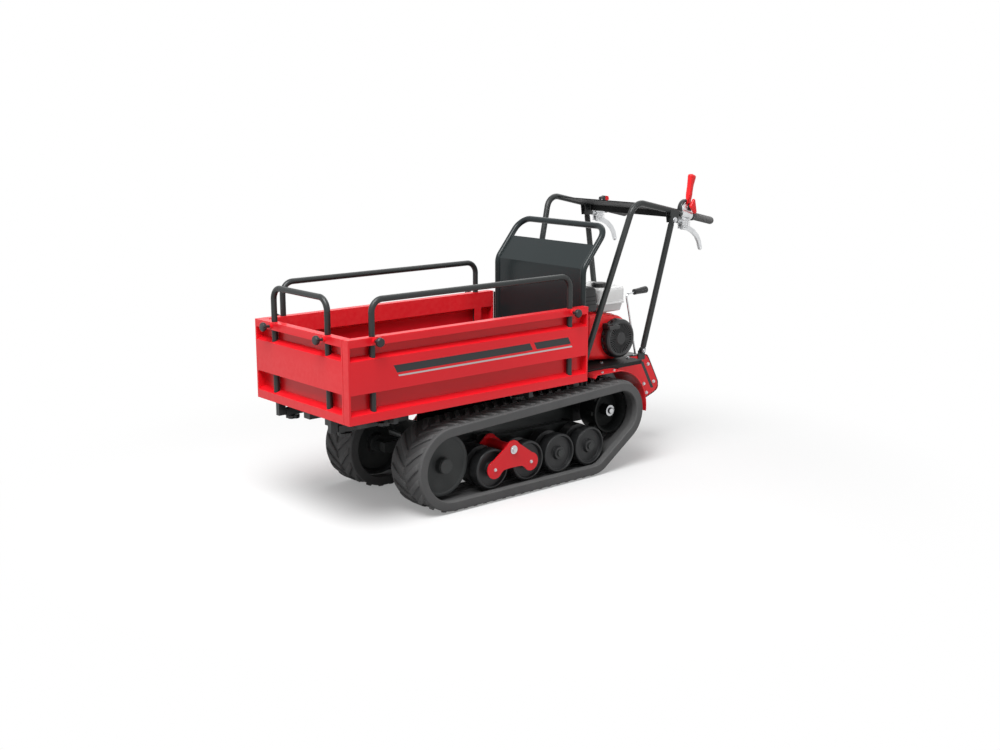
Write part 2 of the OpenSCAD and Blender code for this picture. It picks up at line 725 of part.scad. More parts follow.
module engine_deck() color(black) {
    difference() {
        union() {
            block([deck_rear_x + deck_h, -deck_half_w, deck_z], [deck_front_x, deck_half_w, deck_top_z]);
            block([deck_rear_x, -deck_half_w + deck_h, deck_z],
                  [deck_front_x, deck_half_w - deck_h, deck_top_z]);
            both() cyl_z(deck_rear_x + deck_h, deck_half_w - deck_h, 2 * deck_h, deck_z, deck_top_z);
        }
        block([deck_rear_x + 24, -deck_half_w + 8, deck_z - 1],
              [deck_front_x - 20, deck_half_w - 8, deck_top_z - 5]);
    }
    both() block([-340, beam_in_y - 4, deck_z], [-256, beam_in_y + 16, deck_top_z - 4]);
    block([sprocket_x - 66, -60, gearbox_top_z], [sprocket_x + 46, 60, deck_top_z - 4]);
    both() block([deck_rear_x + 20, plate_y - plate_t - 24, deck_z],
                 [deck_rear_x + 120, plate_y - plate_t, deck_top_z - 4]);
}

// Outline of a rear side plate in (x, z), front to rear
module plate_outline() {
    top_r = 17;
    rear_r = 24;
    polygon([[plate_front_x, deck_z], [deck_rear_x - 2, deck_z], [plate_step_x, plate_top_z + 5],
             [plate_shoulder_x + 16, plate_top_z], [plate_shoulder_x, plate_top_z - 14],
             [plate_rear_x, plate_low_z + 59], [plate_rear_x + 3, plate_low_z + 37],
             [plate_rear_x + 21, plate_low_z + 19], [plate_rear_x + 76, plate_low_z],
             [plate_front_x - 80, plate_low_z], [plate_front_x, deck_z - 78]]);
    translate([plate_shoulder_x + 16, plate_top_z - top_r + 1]) circle(r = top_r);
    translate([plate_rear_x + 21, plate_low_z + 43]) circle(r = rear_r);
}

module rear_plates() color(red) {
    both() along_y(plate_y - plate_t, plate_y) plate_outline();
    cyl_y(gear_pivot[0], gear_pivot[1], 10, gear_y - 16, plate_y - plate_t);
    for (p = [[plate_front_x - 80, plate_low_z + 13], [plate_rear_x + 25, plate_low_z + 43]])
        cyl_y(p[0], p[1], 18, -plate_y + plate_t, plate_y - plate_t);
}

module rear_cover() color(black) {
    inside = plate_y - plate_t;
    top = plate_top_z - 1;
    gear_slot = 9;
    difference() {
        along_y(-inside, inside) polygon([[plate_step_x, top - cover_t], [plate_step_x, top],
            [plate_shoulder_x + 15, top - 2], [plate_shoulder_x + 3, top - 14],
            [plate_rear_x + 9, plate_low_z + 71], [plate_rear_x + 9 + cover_t, plate_low_z + 70],
            [plate_shoulder_x + 5, top - 16], [plate_shoulder_x + 16, top - 2 - cover_t]]);
        block([gear_pivot[0] - 19, gear_y - gear_slot, gear_pivot[1] - 5],
              [gear_pivot[0] + 33, gear_y + gear_slot, plate_top_z + 8]);
    }
}

module mudguards() color(red) both() {
    r = guard_r;
    top = sprocket_z + r + guard_t;
    lip = 14;
    difference() {
        cyl_y(sprocket_x, sprocket_z, 2 * (r + guard_t), guard_in_y, guard_y);
        cyl_y(sprocket_x, sprocket_z, 2 * r, guard_in_y - 1, guard_y + 1);
        block([sprocket_x, guard_in_y - 1, 0], [sprocket_x + 2 * r, guard_y + 1, top + 1]);
        block([sprocket_x - 2 * r, guard_in_y - 1, 0], [sprocket_x + 1, guard_y + 1, sprocket_z - 20]);
        block([sprocket_x - 2 * r, guard_in_y - 1, deck_z], [sprocket_x + 1, deck_half_w, top + 1]);
    }
    along_y(deck_half_w, guard_y) polygon([[sprocket_x - 1, top], [sprocket_x - 1, top - guard_t],
        [guard_front_x, top - guard_t], [guard_front_x + lip - 2, top - guard_t - lip],
        [guard_front_x + lip, top - lip], [guard_front_x + 1, top]]);
}

module gearbox_housing() color(dark_grey) {
    difference() {
        union() {
            block([sprocket_x - 85, -gearbox_half_w, sprocket_z - 72],
                  [sprocket_x + 85, gearbox_half_w, sprocket_z + 60]);
            block([sprocket_x - 70, -60, sprocket_z + 60], [sprocket_x + 50, 60, gearbox_top_z]);
            block([tail_rear_x, -tail_half_w, sprocket_z + 8],
                  [sprocket_x - 84, tail_half_w, sprocket_z + 130]);
            both() cyl_y(sprocket_x, sprocket_z, 78, gearbox_half_w - 3, beam_in_y + 28);
        }
        both() cyl_y(sprocket_x, sprocket_z, 34 + 2 * run_gap, beam_in_y - 31, beam_in_y + 30);
    }
    both() block([sprocket_x + 62, gearbox_half_w, sprocket_z - 60],
                 [sprocket_x + 85, beam_in_y - upright_t, sprocket_z - 20]);
}

// Sub-parts of the engine
module engine_block() color(dark_grey) {
    back_y = tank_left_y - 52;
    block([crank_x - 88, -70, deck_top_z], [crank_x + 92, back_y - 4, deck_top_z + 16]);
    block([crank_x - 70, -52, deck_top_z + 16], [crank_x + 74, back_y, crank_z + 70]);
    translate([crank_x + 40, 0, crank_z - 14]) rotate([0, 65, 0]) {
        for (k = [0 : 6]) translate([-38, -34, 20 + 14 * k]) cube([92, 104, 6]);
        translate([-28, -22, 0]) cube([70, 80, 124]);
    }
    block([crank_x + 60, -60, crank_z + 60], [crank_x + 104, back_y, crank_z + 76]);
    cyl_y(crank_x, crank_z, 60, -70, -51);
    cyl_y(crank_x, crank_z, 24, -96, -69);
    block([tank_rear_x + 24, -30, crank_z + 70], [tank_rear_x + 130, 60, tank_z - 6]);
}

module blower_housing() color(red) {
    y0 = tank_left_y - 52;
    y1 = tank_left_y;
    cyl_y(crank_x, crank_z, 2 * recoil_r + 24, y0, y1);
    along_y(y0 + 1, y1 - 2)
        polygon([[crank_x - 30, crank_z + recoil_r + 4], [crank_x + 66, shroud_top_z - 12],
                 [crank_x + 146, shroud_top_z], [crank_x + 156, shroud_top_z - 12],
                 [crank_x + 158, crank_z - 66], [crank_x + 140, crank_z - 84],
                 [crank_x + 16, crank_z - 88]]);
}

module recoil_cover() color(black) {
    y0 = recoil_y - recoil_depth;
    difference() {
        turned(crank_x, crank_z, [[0, y0], [recoil_r, y0], [recoil_r, recoil_y - 14],
            [recoil_r - 5, recoil_y - 6], [recoil_r - 14, recoil_y - 2], [recoil_r - 24, recoil_y],
            [0, recoil_y]]);
        for (a = [0 : 20 : 340])
            translate([crank_x, recoil_y - 5, crank_z]) rotate([0, a, 0])
                block([recoil_r * 0.44, 0, -2.5], [recoil_r * 0.8, 6, 2.5]);
    }
    block([pull_x - 12, y0, pull_z - 12], [pull_x + 12, recoil_y - 6, pull_z + 12]);
}

module rounded_box(a, b, r) {
    hull() for (x = [a[0] + r, b[0] - r], y = [a[1] + r, b[1] - r], z = [a[2] + r, b[2] - r])
        translate([x, y, z]) sphere(r = r, $fn = 24);
}

module fuel_tank() color(light_grey) {
    a = [tank_rear_x, tank_left_y - tank_w, tank_z];
    b = [tank_rear_x + tank_len, tank_left_y, tank_z + tank_h];
    neck_top = b[2] + 8;
    rounded_box([a[0] + 6, a[1] + 6, a[2]], [b[0] - 6, b[1] - 6, a[2] + seam_h + 14], 12);
    rounded_box([a[0], a[1], a[2] + seam_h], b, 16);
    block([a[0] + 14, a[1] - 3, a[2] + seam_h - 2], [b[0] - 14, b[1] + 3, a[2] + seam_h + 3]);
    cyl_z(cap_x, cap_y, 44, b[2] - 10, neck_top);
    block([a[0] + 30, a[1] + 40, a[2] - 6], [b[0] - 30, b[1] - 60, a[2] + 4]);
}

module air_cleaner() color(black) {
    front = crank_x + intake_reach;
    rear = tank_rear_x + tank_len + intake_gap;
    low = shroud_top_z + 5;
    rounded_box([rear, 24, low], [front, tank_left_y - 4, low + 101], 14);
    block([rear + 4, 30, crank_z + 76], [front - 20, tank_left_y - 58, low + 8]);
}

module muffler() color(dark_grey) {
    front = crank_x + intake_reach;
    rear = tank_rear_x + tank_len + intake_gap;
    rounded_box([rear, -120, crank_z + 84], [front, 8, crank_z + 176], 16);
    cyl_y(front - 30, crank_z + 130, 28, -142, -110);
    block([rear + 4, -80, crank_z + 76], [front - 24, -10, crank_z + 92]);
}

module belt_guard() color(black) {
    y0 = -130;
    y1 = -100;
    difference() {
        along_y(y0, y1) {
            translate([crank_x, crank_z]) circle(r = 70);
            translate([crank_x - 70, deck_top_z]) square([140, crank_h]);
        }
        along_y(y0 + 4, y1 + 1) {
            translate([crank_x, crank_z]) circle(r = 64);
            translate([crank_x - 64, deck_top_z - 1]) square([128, crank_h]);
        }
    }
    cyl_y(crank_x, crank_z, 96, -118, -104);
    cyl_y(crank_x, crank_z, 24, -126.5, -96);
}

// Sub-parts of the handlebar
module handlebar_frame() color(black) {
    end = [grip_ball_x + 1, bar_half_w, rail_z(grip_ball_x + 1)];
    dash_front = bar_bend_x - 40;
    dash_rear = clevis_x - 10;
    dash_t = 4;
    inside = bar_half_w - 4;
    flange_half_w = bar_half_w - 18;
    ear_z = rail_z(clevis_x) - clevis_drop - 12;
    both() {
        bent_tube([[bar_foot_x, bar_foot_y, deck_top_z + 5], [bar_bend_x, bar_half_w, bar_bend_z], end],
                  bar_bend_r, bar_d);
        cyl_z(bar_foot_x, bar_foot_y, 44, deck_top_z, deck_top_z + 6);
        // Ears of the clevis under the rail
        for (y = [bar_half_w - 15, bar_half_w + 10])
            along_y(y, y + 5) polygon([[clevis_x - 26, rail_z(clevis_x - 26)],
                [clevis_x + 26, rail_z(clevis_x + 26)], [clevis_x + 18, ear_z], [clevis_x - 18, ear_z]]);
    }
    along_y(-inside, inside) polygon([[dash_front, rail_z(dash_front) - dash_t],
        [dash_front, rail_z(dash_front)], [dash_rear, rail_z(dash_rear)],
        [dash_rear, rail_z(dash_rear) - dash_t]]);
    block([dash_rear, -flange_half_w, rail_z(dash_rear) - 26],
          [dash_rear + dash_t, flange_half_w, rail_z(dash_rear) - dash_t / 2]);
}

module struts() color(black) both() {
    top = [clevis_x, bar_half_w, rail_z(clevis_x) - clevis_drop];
    foot = [strut_foot_x, plate_y + 8, strut_foot_z];
    along = unit(foot - top);
    lug_r = 14;
    start = top + along * 20;
    stop = foot - along * 17;
    difference() {
        union() {
            rod(start, stop, strut_d);
            cyl_y(top[0], top[2], 2 * lug_r, top[1] - 9.6, top[1] + 9.6);
            cyl_y(foot[0], foot[2], 2 * lug_r, plate_y, plate_y + 16);
            rod(top + along * 4, start + along * 2, 14);
            rod(stop - along * 2, foot - along * 6, 12);
        }
        cyl_y(top[0], top[2], 10, top[1] - 20, top[1] + 20);
    }
    // Bracket that carries the foot on the rear plate
    block([strut_foot_x - 20, plate_y, strut_foot_z - 42], [strut_foot_x + 20, plate_y + 5, strut_foot_z]);
}

module grips() color(rubber_grey) both() {
    r = grip_d / 2;
    bore = bar_d / 2 + run_gap;
    length = (grip_start_x - grip_ball_x) / cos(bar_slope);
    collar = [[bore, 0], [r + 4, 0], [r + 4, 6], [r, 8]];
    dome = [for (a = [0 : 15 : 75]) [r * cos(a), length + r * sin(a)]];
    translate([grip_start_x, bar_half_w, rail_z(grip_start_x)]) rotate([0, -90 - bar_slope, 0])
        rotate_extrude() polygon(concat(collar, dome, [[0, length + r], [0, length], [bore, length]]));
}

// Aluminium perches: a clamp on the rail, a fork below for the clutch lever and, on top,
// a fork for the thumb lever
module lever_perches() color(steel) both() {
    a = [perch_x + 28, bar_half_w, rail_z(perch_x + 28)];
    b = [perch_x - 34, bar_half_w, rail_z(perch_x - 34)];
    fork = lever_t / 2 + cheek_gap;
    difference() {
        union() {
            rod(a, b, bar_d + 16);
            for (s = [1, -1]) {
                y0 = bar_half_w + (s > 0 ? fork : -fork - cheek_t);
                along_y(y0, y0 + cheek_t) {
                    translate(lever_pivot) circle(r = 13);
                    polygon([[lever_pivot[0] - 13, lever_pivot[1]], [lever_pivot[0] + 22, lever_pivot[1] - 6],
                             [perch_x + 24, rail_z(perch_x)], [perch_x - 24, rail_z(perch_x)]]);
                    translate(thumb_pivot) circle(r = 10);
                    polygon([[thumb_pivot[0] - 10, thumb_pivot[1]], [thumb_pivot[0] + 10, thumb_pivot[1]],
                             [perch_x, rail_z(perch_x)], [perch_x - 32, rail_z(perch_x - 32)]]);
                }
            }
            block([perch_x + 8, bar_half_w - fork - cheek_t, lever_pivot[1] + 16],
                  [perch_x + 22, bar_half_w + fork + cheek_t, rail_z(perch_x)]);
        }
        rod([perch_x + 60, bar_half_w, rail_z(perch_x + 60)],
            [perch_x - 60, bar_half_w, rail_z(perch_x - 60)], bar_d + 2 * run_gap);
    }
    translate([perch_x + 20, bar_half_w, rail_z(perch_x) - 28]) rotate([0, 90, 0]) {
        cylinder(d = 13, h = 26);
        for (k = [0 : 2]) translate([0, 0, 4 + 7 * k]) cylinder(d = 19, h = 4);
    }
    for (p = [lever_pivot, thumb_pivot])
        cyl_y(p[0], p[1], lever_pin_d, bar_half_w - fork - cheek_t - 2, bar_half_w + fork + cheek_t + 2);
}

module lever_hub(p, d) {
    difference() {
        union() {
            cyl_y(p[0], p[1], d, bar_half_w - lever_t / 2, bar_half_w + lever_t / 2);
            children();
        }
        cyl_y(p[0], p[1], lever_pin_d + 2 * run_gap, bar_half_w - lever_t, bar_half_w + lever_t);
    }
}

module clutch_lever() {
    path = [for (p = [[0, 0], [-30, -8], [-58, -22], [-82, -42], [-98, -66], [-108, -97]]) lever_pivot + p];
    half = [10, 10, 9.5, 9, 8.5, 7.5];
    tip = path[len(path) - 1];
    lever_hub(lever_pivot, 22)
        along_y(bar_half_w - lever_t / 2, bar_half_w + lever_t / 2)
            polygon(concat(blade_side(path, half, 1), flipped(blade_side(path, half, -1))));
    translate([tip[0], bar_half_w, tip[1]]) sphere(d = 18);
}

module thumb_lever(height, tip_w) {
    p = thumb_pivot;
    edge = [[9, 0], [11, height * 0.3], [4, height * 0.6], [-1, height * 0.86], [-6, height],
            [-6 - tip_w, height - 2], [-3 - tip_w, height * 0.84], [-21, height * 0.55],
            [-17, height * 0.2], [-16, 6], [-9, 0]];
    lever_hub(p, 18) along_y(bar_half_w - lever_t / 2, bar_half_w + lever_t / 2)
        polygon([for (e = edge) p + e]);
}

module throttle_shape() {
    translate([thumb_pivot[0], 0, thumb_pivot[1]]) rotate([0, -throttle_lean, 0])
        translate([-thumb_pivot[0], 0, -thumb_pivot[1]]) thumb_lever(36, 16);
}

module gear_lever() color(steel) {
    p = gear_pivot;
    hand = [p[0] + 16, gear_y, p[1] + 286];
    difference() {
        union() {
            cyl_y(p[0], p[1], 22, gear_y - 7, gear_y + 7);
            bent_tube([[p[0], gear_y, p[1] + 6], [p[0] + 66, gear_y, p[1] + 280], hand], 14, 9);
        }
        cyl_y(p[0], p[1], 10 + 2 * run_gap, gear_y - 10, gear_y + 10);
    }
    rod(hand, hand + [-70, 0, 4], 24);
}

module fuel_cap() color(black) {
    top = tank_z + tank_h;
    difference() {
        union() {
            cyl_z(cap_x, cap_y, 2 * fuel_cap_r, top + 1, top + 14);
            cyl_z(cap_x, cap_y, 2 * fuel_cap_r - 10, top + 14, top + 18);
        }
        cyl_z(cap_x, cap_y, 44 + 2 * run_gap, top, top + 8.4);
        for (a = [0 : 30 : 330])
            translate([cap_x, cap_y, top]) rotate(a) translate([fuel_cap_r + 1, 0, 0])
                cylinder(d = 6, h = 20);
    }
}

module starter_grip() color(black) {
    y0 = recoil_y - 6 + 0.3;
    cyl_y(pull_x, pull_z, 14, y0, y0 + 12);
    translate([pull_x, y0 + 12, pull_z]) block([-30, 0, -8], [30, 15, 8]);
}

module frame_bolts() color(steel) {
    both() {
        for (p = [[plate_shoulder_x + 2, plate_top_z - 44], [plate_rear_x + 29, plate_low_z + 65],
                  [plate_rear_x + 73, plate_low_z + 21], [plate_shoulder_x + 26, plate_low_z + 63]])
            translate([p[0], plate_y, p[1]]) rotate([-90, 0, 0]) hex_bolt(7, 6);
        for (x = [crank_x - 78, crank_x + 82])
            translate([x, deck_half_w - 70, deck_top_z]) hex_bolt(7, 6);
        for (x = [guard_front_x - 40, guard_front_x - 108])
            translate([x, guard_y - 14, sprocket_z + guard_r + guard_t]) hex_bolt(6, 6);
        translate([strut_foot_x, plate_y + 16, strut_foot_z]) rotate([-90, 0, 0]) hex_bolt(8, 7);
        translate([clevis_x, bar_half_w + 15, rail_z(clevis_x) - clevis_drop]) rotate([-90, 0, 0])
            hex_bolt(10, 7);
    }
}

// Sub-parts of the bed
module bed() color(dark_grey) {
    block([tray_rear_x, -floor_half_w, tray_z], [floor_front_x, floor_half_w, tray_z + floor_t]);
    for (x = left_slides_x) sleeve([x, sleeve_inner_y, slide_z], [x, floor_half_w - panel_gap, slide_z], 1);
    for (x = right_slides_x)
        sleeve([x, -floor_half_w + panel_gap, slide_z], [x, -sleeve_inner_y, slide_z], 1);
    both() {
        block([tray_rear_x + 12, bed_rail_y - bed_rail_w / 2, bed_low_z],
              [floor_front_x - 30, bed_rail_y + bed_rail_w / 2, sleeve_top_z - sleeve_w]);
        sleeve([floor_front_x - front_sleeve_len, front_slide_y, rail_b_z],
               [floor_front_x, front_slide_y, rail_b_z], 0);
        along_y(hinge_lug_y, hinge_lug_y + hinge_lug_t) {
            translate([hinge_x, hinge_z]) circle(r = hinge_lug_r);
            translate([hinge_x - hinge_lug_r, hinge_z]) square([2 * hinge_lug_r, bed_low_z - hinge_z]);
        }
    }
    cyl_y(hinge_x, hinge_z, hinge_d, -hinge_lug_y - hinge_lug_t, hinge_lug_y + hinge_lug_t);
    for (x = [tray_rear_x + 12, floor_front_x - 60])
        block([x, -floor_half_w, sleeve_top_z - sleeve_w], [x + 30, floor_half_w, sleeve_top_z]);
}

module slide_knob(x, y, z) {
    difference() {
        union() {
            cyl_z(x, y, slide_knob_d, z - slide_knob_neck - slide_knob_t, z - slide_knob_neck);
            cyl_z(x, y, screw_d + 6, z - slide_knob_neck, z);
        }
        for (a = [0 : 72 : 288])
            translate([x, y, z - 40]) rotate(a) translate([slide_knob_d * 0.56, 0, 0])
                cylinder(d = slide_knob_d * 0.3, h = 40);
    }
}

module slide_knobs() color(black) {
    for (x = left_slides_x) slide_knob(x, floor_half_w - side_knob_in, sleeve_top_z - sleeve_w);
    for (x = right_slides_x) slide_knob(x, -floor_half_w + side_knob_in, sleeve_top_z - sleeve_w);
    both() slide_knob(floor_front_x - front_knob_in + 40, front_slide_y, bed_low_z);
}

module backrest() color(dark_grey) {
    x = tray_rear_x - back_set;
    low = sleeve_top_z - sleeve_w;
    top_x = x - back_lean * back_cover;
    top_z = back_bend_z + (back_top_z - back_bend_z) * back_cover;
    t = back_plate_t;
    // Side tubes and top bar in one run
    bent_tube([[x, back_half_w, low], [x, back_half_w, back_bend_z], [x - back_lean, back_half_w, back_top_z],
               [x - back_lean, -back_half_w, back_top_z], [x, -back_half_w, back_bend_z],
               [x, -back_half_w, low]],
              60, back_tube_d);
    along_y(-back_half_w, back_half_w) polygon([[x - t / 2, low], [x + t / 2, low],
        [x + t / 2, back_bend_z + 1], [top_x + t / 2, top_z + 1], [top_x - t / 2, top_z],
        [x - t / 2, back_bend_z]]);
    both() block([x - t / 2, back_half_w, low], [x + t / 2, inner_y + wing_reach, panel_top_z - 6]);
    for (y = [-150, 150]) block([x - 1, y - 20, low], [tray_rear_x, y + 20, sleeve_top_z]);
    both() block([x - 6, back_half_w - 40, low], [tray_rear_x, back_half_w - 4, sleeve_top_z]);
}

module side_panel(length, legs, slides) {
    translate([tray_rear_x, half_w, tray_z]) panel_sheet(length, [for (x = legs) x - tray_rear_x]);
    for (x = slides) {
        block([x - slide_w / 2, slide_inner_y, slide_z - slide_w / 2],
              [x + slide_w / 2, half_w - slide_foot_in, slide_z + slide_w / 2]);
        block([x - slide_w / 2, inner_y, slide_z], [x + slide_w / 2, half_w - slide_foot_in, tray_z]);
    }
}

module left_panel() color(red) side_panel(tray_len, side_legs_x, left_slides_x);
module right_panel() color(red) mirror([0, 1, 0]) side_panel(right_panel_len, side_legs_x, right_slides_x);

module front_panel() color(red) {
    start_y = half_w - panel_depth - panel_gap;
    translate([tray_front_x, start_y, tray_z]) rotate([0, 0, -90])
        panel_sheet(front_panel_len, [for (y = front_legs_y) start_y - y]);
    for (y = [front_slide_y, -front_slide_y]) {
        block([floor_front_x - front_slide_len, y - slide_w / 2, rail_b_z - slide_w / 2],
              [tray_front_x - slide_foot_in, y + slide_w / 2, rail_b_z + slide_w / 2]);
        block([front_inner_x, y - slide_w / 2, rail_b_z],
              [tray_front_x - slide_foot_in, y + slide_w / 2, tray_z]);
    }
}

module side_hoop() color(black) {
    leg_len = panel_h + hoop_rise - leg_foot;
    translate([(side_legs_x[0] + side_legs_x[1]) / 2, half_w - hoop_depth, panel_top_z + hoop_rise])
        hoop_shape(side_legs_x[0] - side_legs_x[1], leg_len);
}

module left_hoop() side_hoop();
module right_hoop() mirror([0, 1, 0]) side_hoop();
module front_hoop() color(black) {
    translate([tray_front_x - hoop_depth, front_mid_y, panel_top_z + hoop_rise]) rotate([0, 0, 90])
        hoop_shape(front_leg_pitch, panel_h + hoop_rise - leg_foot);
}

module side_knob(x) color(black) translate([x, half_w, tray_z + knob_h]) knob_shape();
module front_knob(y) color(black)
    translate([tray_front_x, y, tray_z + knob_h]) rotate([0, 0, -90]) knob_shape();

chassis_frame();
track_frames();
tensioners();
engine_deck();
rear_plates();
rear_cover();
mudguards();
gearbox_housing();
engine_block();
blower_housing();
recoil_cover();
fuel_tank();
air_cleaner();
muffler();
belt_guard();
handlebar_frame();
struts();
grips();
lever_perches();
color(rubber_grey) belt_track();  // track_left
color(rubber_grey) mirror([0, 1, 0]) belt_track();  // track_right
frame_bolts();
bed();
backrest();
front_panel();
left_panel();
right_panel();
front_hoop();
left_hoop();
right_hoop();
front_knob(front_legs_y[0]);  // front_knob_left
front_knob(front_legs_y[1]);  // front_knob_right
side_knob(side_legs_x[0]);  // left_knob_front
side_knob(side_legs_x[1]);  // left_knob_rear
mirror([0, 1, 0]) side_knob(side_legs_x[0]);  // right_knob_front
mirror([0, 1, 0]) side_knob(side_legs_x[1]);  // right_knob_rear
slide_knobs();
color(black) sprocket();  // sprocket_left
color(black) mirror([0, 1, 0]) sprocket();  // sprocket_right
color(black) idler();  // idler_left
color(black) mirror([0, 1, 0]) idler();  // idler_right
color(red) bogie();  // bogie_left
color(red) mirror([0, 1, 0]) bogie();  // bogie_right
color(black) roller(0);  // roller_left_1
color(black) roller(1);  // roller_left_2
color(black) roller(2);  // roller_left_3
color(black) roller(3);  // roller_left_4
color(black) mirror([0, 1, 0]) roller(0);  // roller_right_1
color(black) mirror([0, 1, 0]) roller(1);  // roller_right_2
color(black) mirror([0, 1, 0]) roller(2);  // roller_right_3
color(black) mirror([0, 1, 0]) roller(3);  // roller_right_4
color(steel) clutch_lever();  // clutch_lever_left
color(steel) mirror([0, 1, 0]) clutch_lever();  // clutch_lever_right
color(red) thumb_lever(132, 30);  // drive_lever
color(red) mirror([0, 1, 0]) throttle_shape();  // throttle_lever
gear_lever();
fuel_cap();
starter_grip();
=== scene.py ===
# %% [markdown]
# A tracked power carrier, dressed for a studio picture.
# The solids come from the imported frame, already in place and in metres. This lesson
# loads them, rounds their edges, gives every part a painted, cast or moulded finish,
# and models the pieces that plain solids can't show well: the rubber tracks with their
# chevron lugs, the ribbed hand grips and the pressed and louvred engine parts.

# %% Load the frame
import json
import math

import bmesh
import bpy
import numpy as np
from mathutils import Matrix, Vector


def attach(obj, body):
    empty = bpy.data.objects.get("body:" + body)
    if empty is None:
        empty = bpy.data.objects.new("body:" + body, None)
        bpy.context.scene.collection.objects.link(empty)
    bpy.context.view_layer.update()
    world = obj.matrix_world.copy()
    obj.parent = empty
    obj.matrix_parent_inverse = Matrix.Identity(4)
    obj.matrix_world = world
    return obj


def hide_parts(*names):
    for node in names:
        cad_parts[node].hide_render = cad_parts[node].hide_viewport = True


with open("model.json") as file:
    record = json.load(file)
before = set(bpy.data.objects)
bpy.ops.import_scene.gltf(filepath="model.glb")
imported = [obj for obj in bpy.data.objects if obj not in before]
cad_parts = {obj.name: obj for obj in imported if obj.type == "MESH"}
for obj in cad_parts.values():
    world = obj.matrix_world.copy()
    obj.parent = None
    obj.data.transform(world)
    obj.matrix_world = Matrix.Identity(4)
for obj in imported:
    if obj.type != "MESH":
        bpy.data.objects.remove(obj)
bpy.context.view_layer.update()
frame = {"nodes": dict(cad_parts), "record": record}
nodes = frame["nodes"]
body_of_node = {}
for body_name, members in frame["record"]["behaviour"]["bodies"].items():
    for member in members:
        body_of_node[member] = body_name

# %% [markdown]
# The camera stands to the front left, a little above the tray, about five metres away.
# A slightly long lens keeps the long tray from looking stretched.

# %% Camera
CAMERA_PLACE = Vector((3.3720, 3.9185, 1.5056))
CAMERA_AIM = Vector((0.0025, 0.0, 0.4062))
LENS_MM = 46.86
SENSOR_MM = 36.0


def new_object(name, data):
    made = bpy.data.objects.new(name, data)
    bpy.context.scene.collection.objects.link(made)
    return made


def aim_from(made, place, aim):
    """Puts a camera or a lamp at place and turns it to look at aim."""
    made.location = place
    made.rotation_euler = (Vector(aim) - Vector(place)).to_track_quat("-Z", "Y").to_euler()


camera_data = bpy.data.cameras.new("camera")
camera_data.lens = LENS_MM
camera_data.sensor_width = SENSOR_MM
camera = new_object("camera", camera_data)
aim_from(camera, CAMERA_PLACE, CAMERA_AIM)
bpy.context.scene.camera = camera
bpy.context.scene.view_settings.view_transform = "Standard"

# %% [markdown]
# A white sweep is simplest as a large pale floor under a white world. The world shows
# pure white to the camera and to reflections, and lights the object at a plain level.
# One wide lamp high to the front left lights both visible sides alike, darkens the recesses
# under the rails and gives the soft shadow. A weak lamp behind keeps the back readable, and
# a small fill from the left reaches the engine, which stands in the shade of the bars.

# %% Stage and light
WORLD_LIGHT = 0.36
KEY_POWER = 245
REAR_POWER = 40
FILL_POWER = 185
FILL_CONE = math.radians(17)
FILL_BLEND = 0.8
FILL_SOFT = 0.5


def seen_directly(tree):
    """1 for rays from the camera, from a mirror-like surface or through glass, else 0."""
    path = tree.nodes.new("ShaderNodeLightPath")
    value = path.outputs["Is Camera Ray"]
    for kind in ("Is Glossy Ray", "Is Transmission Ray"):
        either = tree.nodes.new("ShaderNodeMath")
        either.operation = "MAXIMUM"
        tree.links.new(value, either.inputs[0])
        tree.links.new(path.outputs[kind], either.inputs[1])
        value = either.outputs[0]
    return value


def white_world(strength):
    world = bpy.data.worlds.new("white studio")
    bpy.context.scene.world = world
    world.use_nodes = True
    tree = world.node_tree
    lighting = tree.nodes["Background"]
    lighting.inputs["Color"].default_value = (1, 1, 1, 1)
    lighting.inputs["Strength"].default_value = strength
    seen = tree.nodes.new("ShaderNodeBackground")
    seen.inputs["Color"].default_value = (1, 1, 1, 1)
    seen.inputs["Strength"].default_value = 1.0
    mix = tree.nodes.new("ShaderNodeMixShader")
    tree.links.new(seen_directly(tree), mix.inputs["Fac"])
    tree.links.new(lighting.outputs["Background"], mix.inputs[1])
    tree.links.new(seen.outputs["Background"], mix.inputs[2])
    tree.links.new(mix.outputs["Shader"], tree.nodes["World Output"].inputs["Surface"])


def soft_lamp(name, place, aim, size, power):
    data = bpy.data.lights.new(name, "AREA")
    data.shape = "DISK"
    data.size = size
    data.energy = power
    aim_from(new_object(name, data), place, aim)


def engine_fill(name, place, aim, power):
    """A soft spot whose cone takes in little more than the engine."""
    data = bpy.data.lights.new(name, "SPOT")
    data.energy = power
    data.spot_size = FILL_CONE
    data.spot_blend = FILL_BLEND
    data.shadow_soft_size = FILL_SOFT
    aim_from(new_object(name, data), place, aim)


white_world(WORLD_LIGHT)
soft_lamp("key lamp", (2.20, 1.20, 4.2), (0.0, 0.0, 0.5), 2.8, KEY_POWER)
soft_lamp("rear lamp", (-2.8, -1.6, 3.6), (-0.3, 0.0, 0.5), 4.0, REAR_POWER)
engine_fill("engine fill", (-1.25, 3.1, 1.5), (-0.49, 0.15, 0.58), FILL_POWER)

FLOOR_HALF = 14.0
SHADOW_KEPT = 0.7
WHITE_FROM = 2.0
WHITE_LEAST = 0.25
FLOOR_SEEN = 0.84
FLOOR_BOUNCE = 0.35


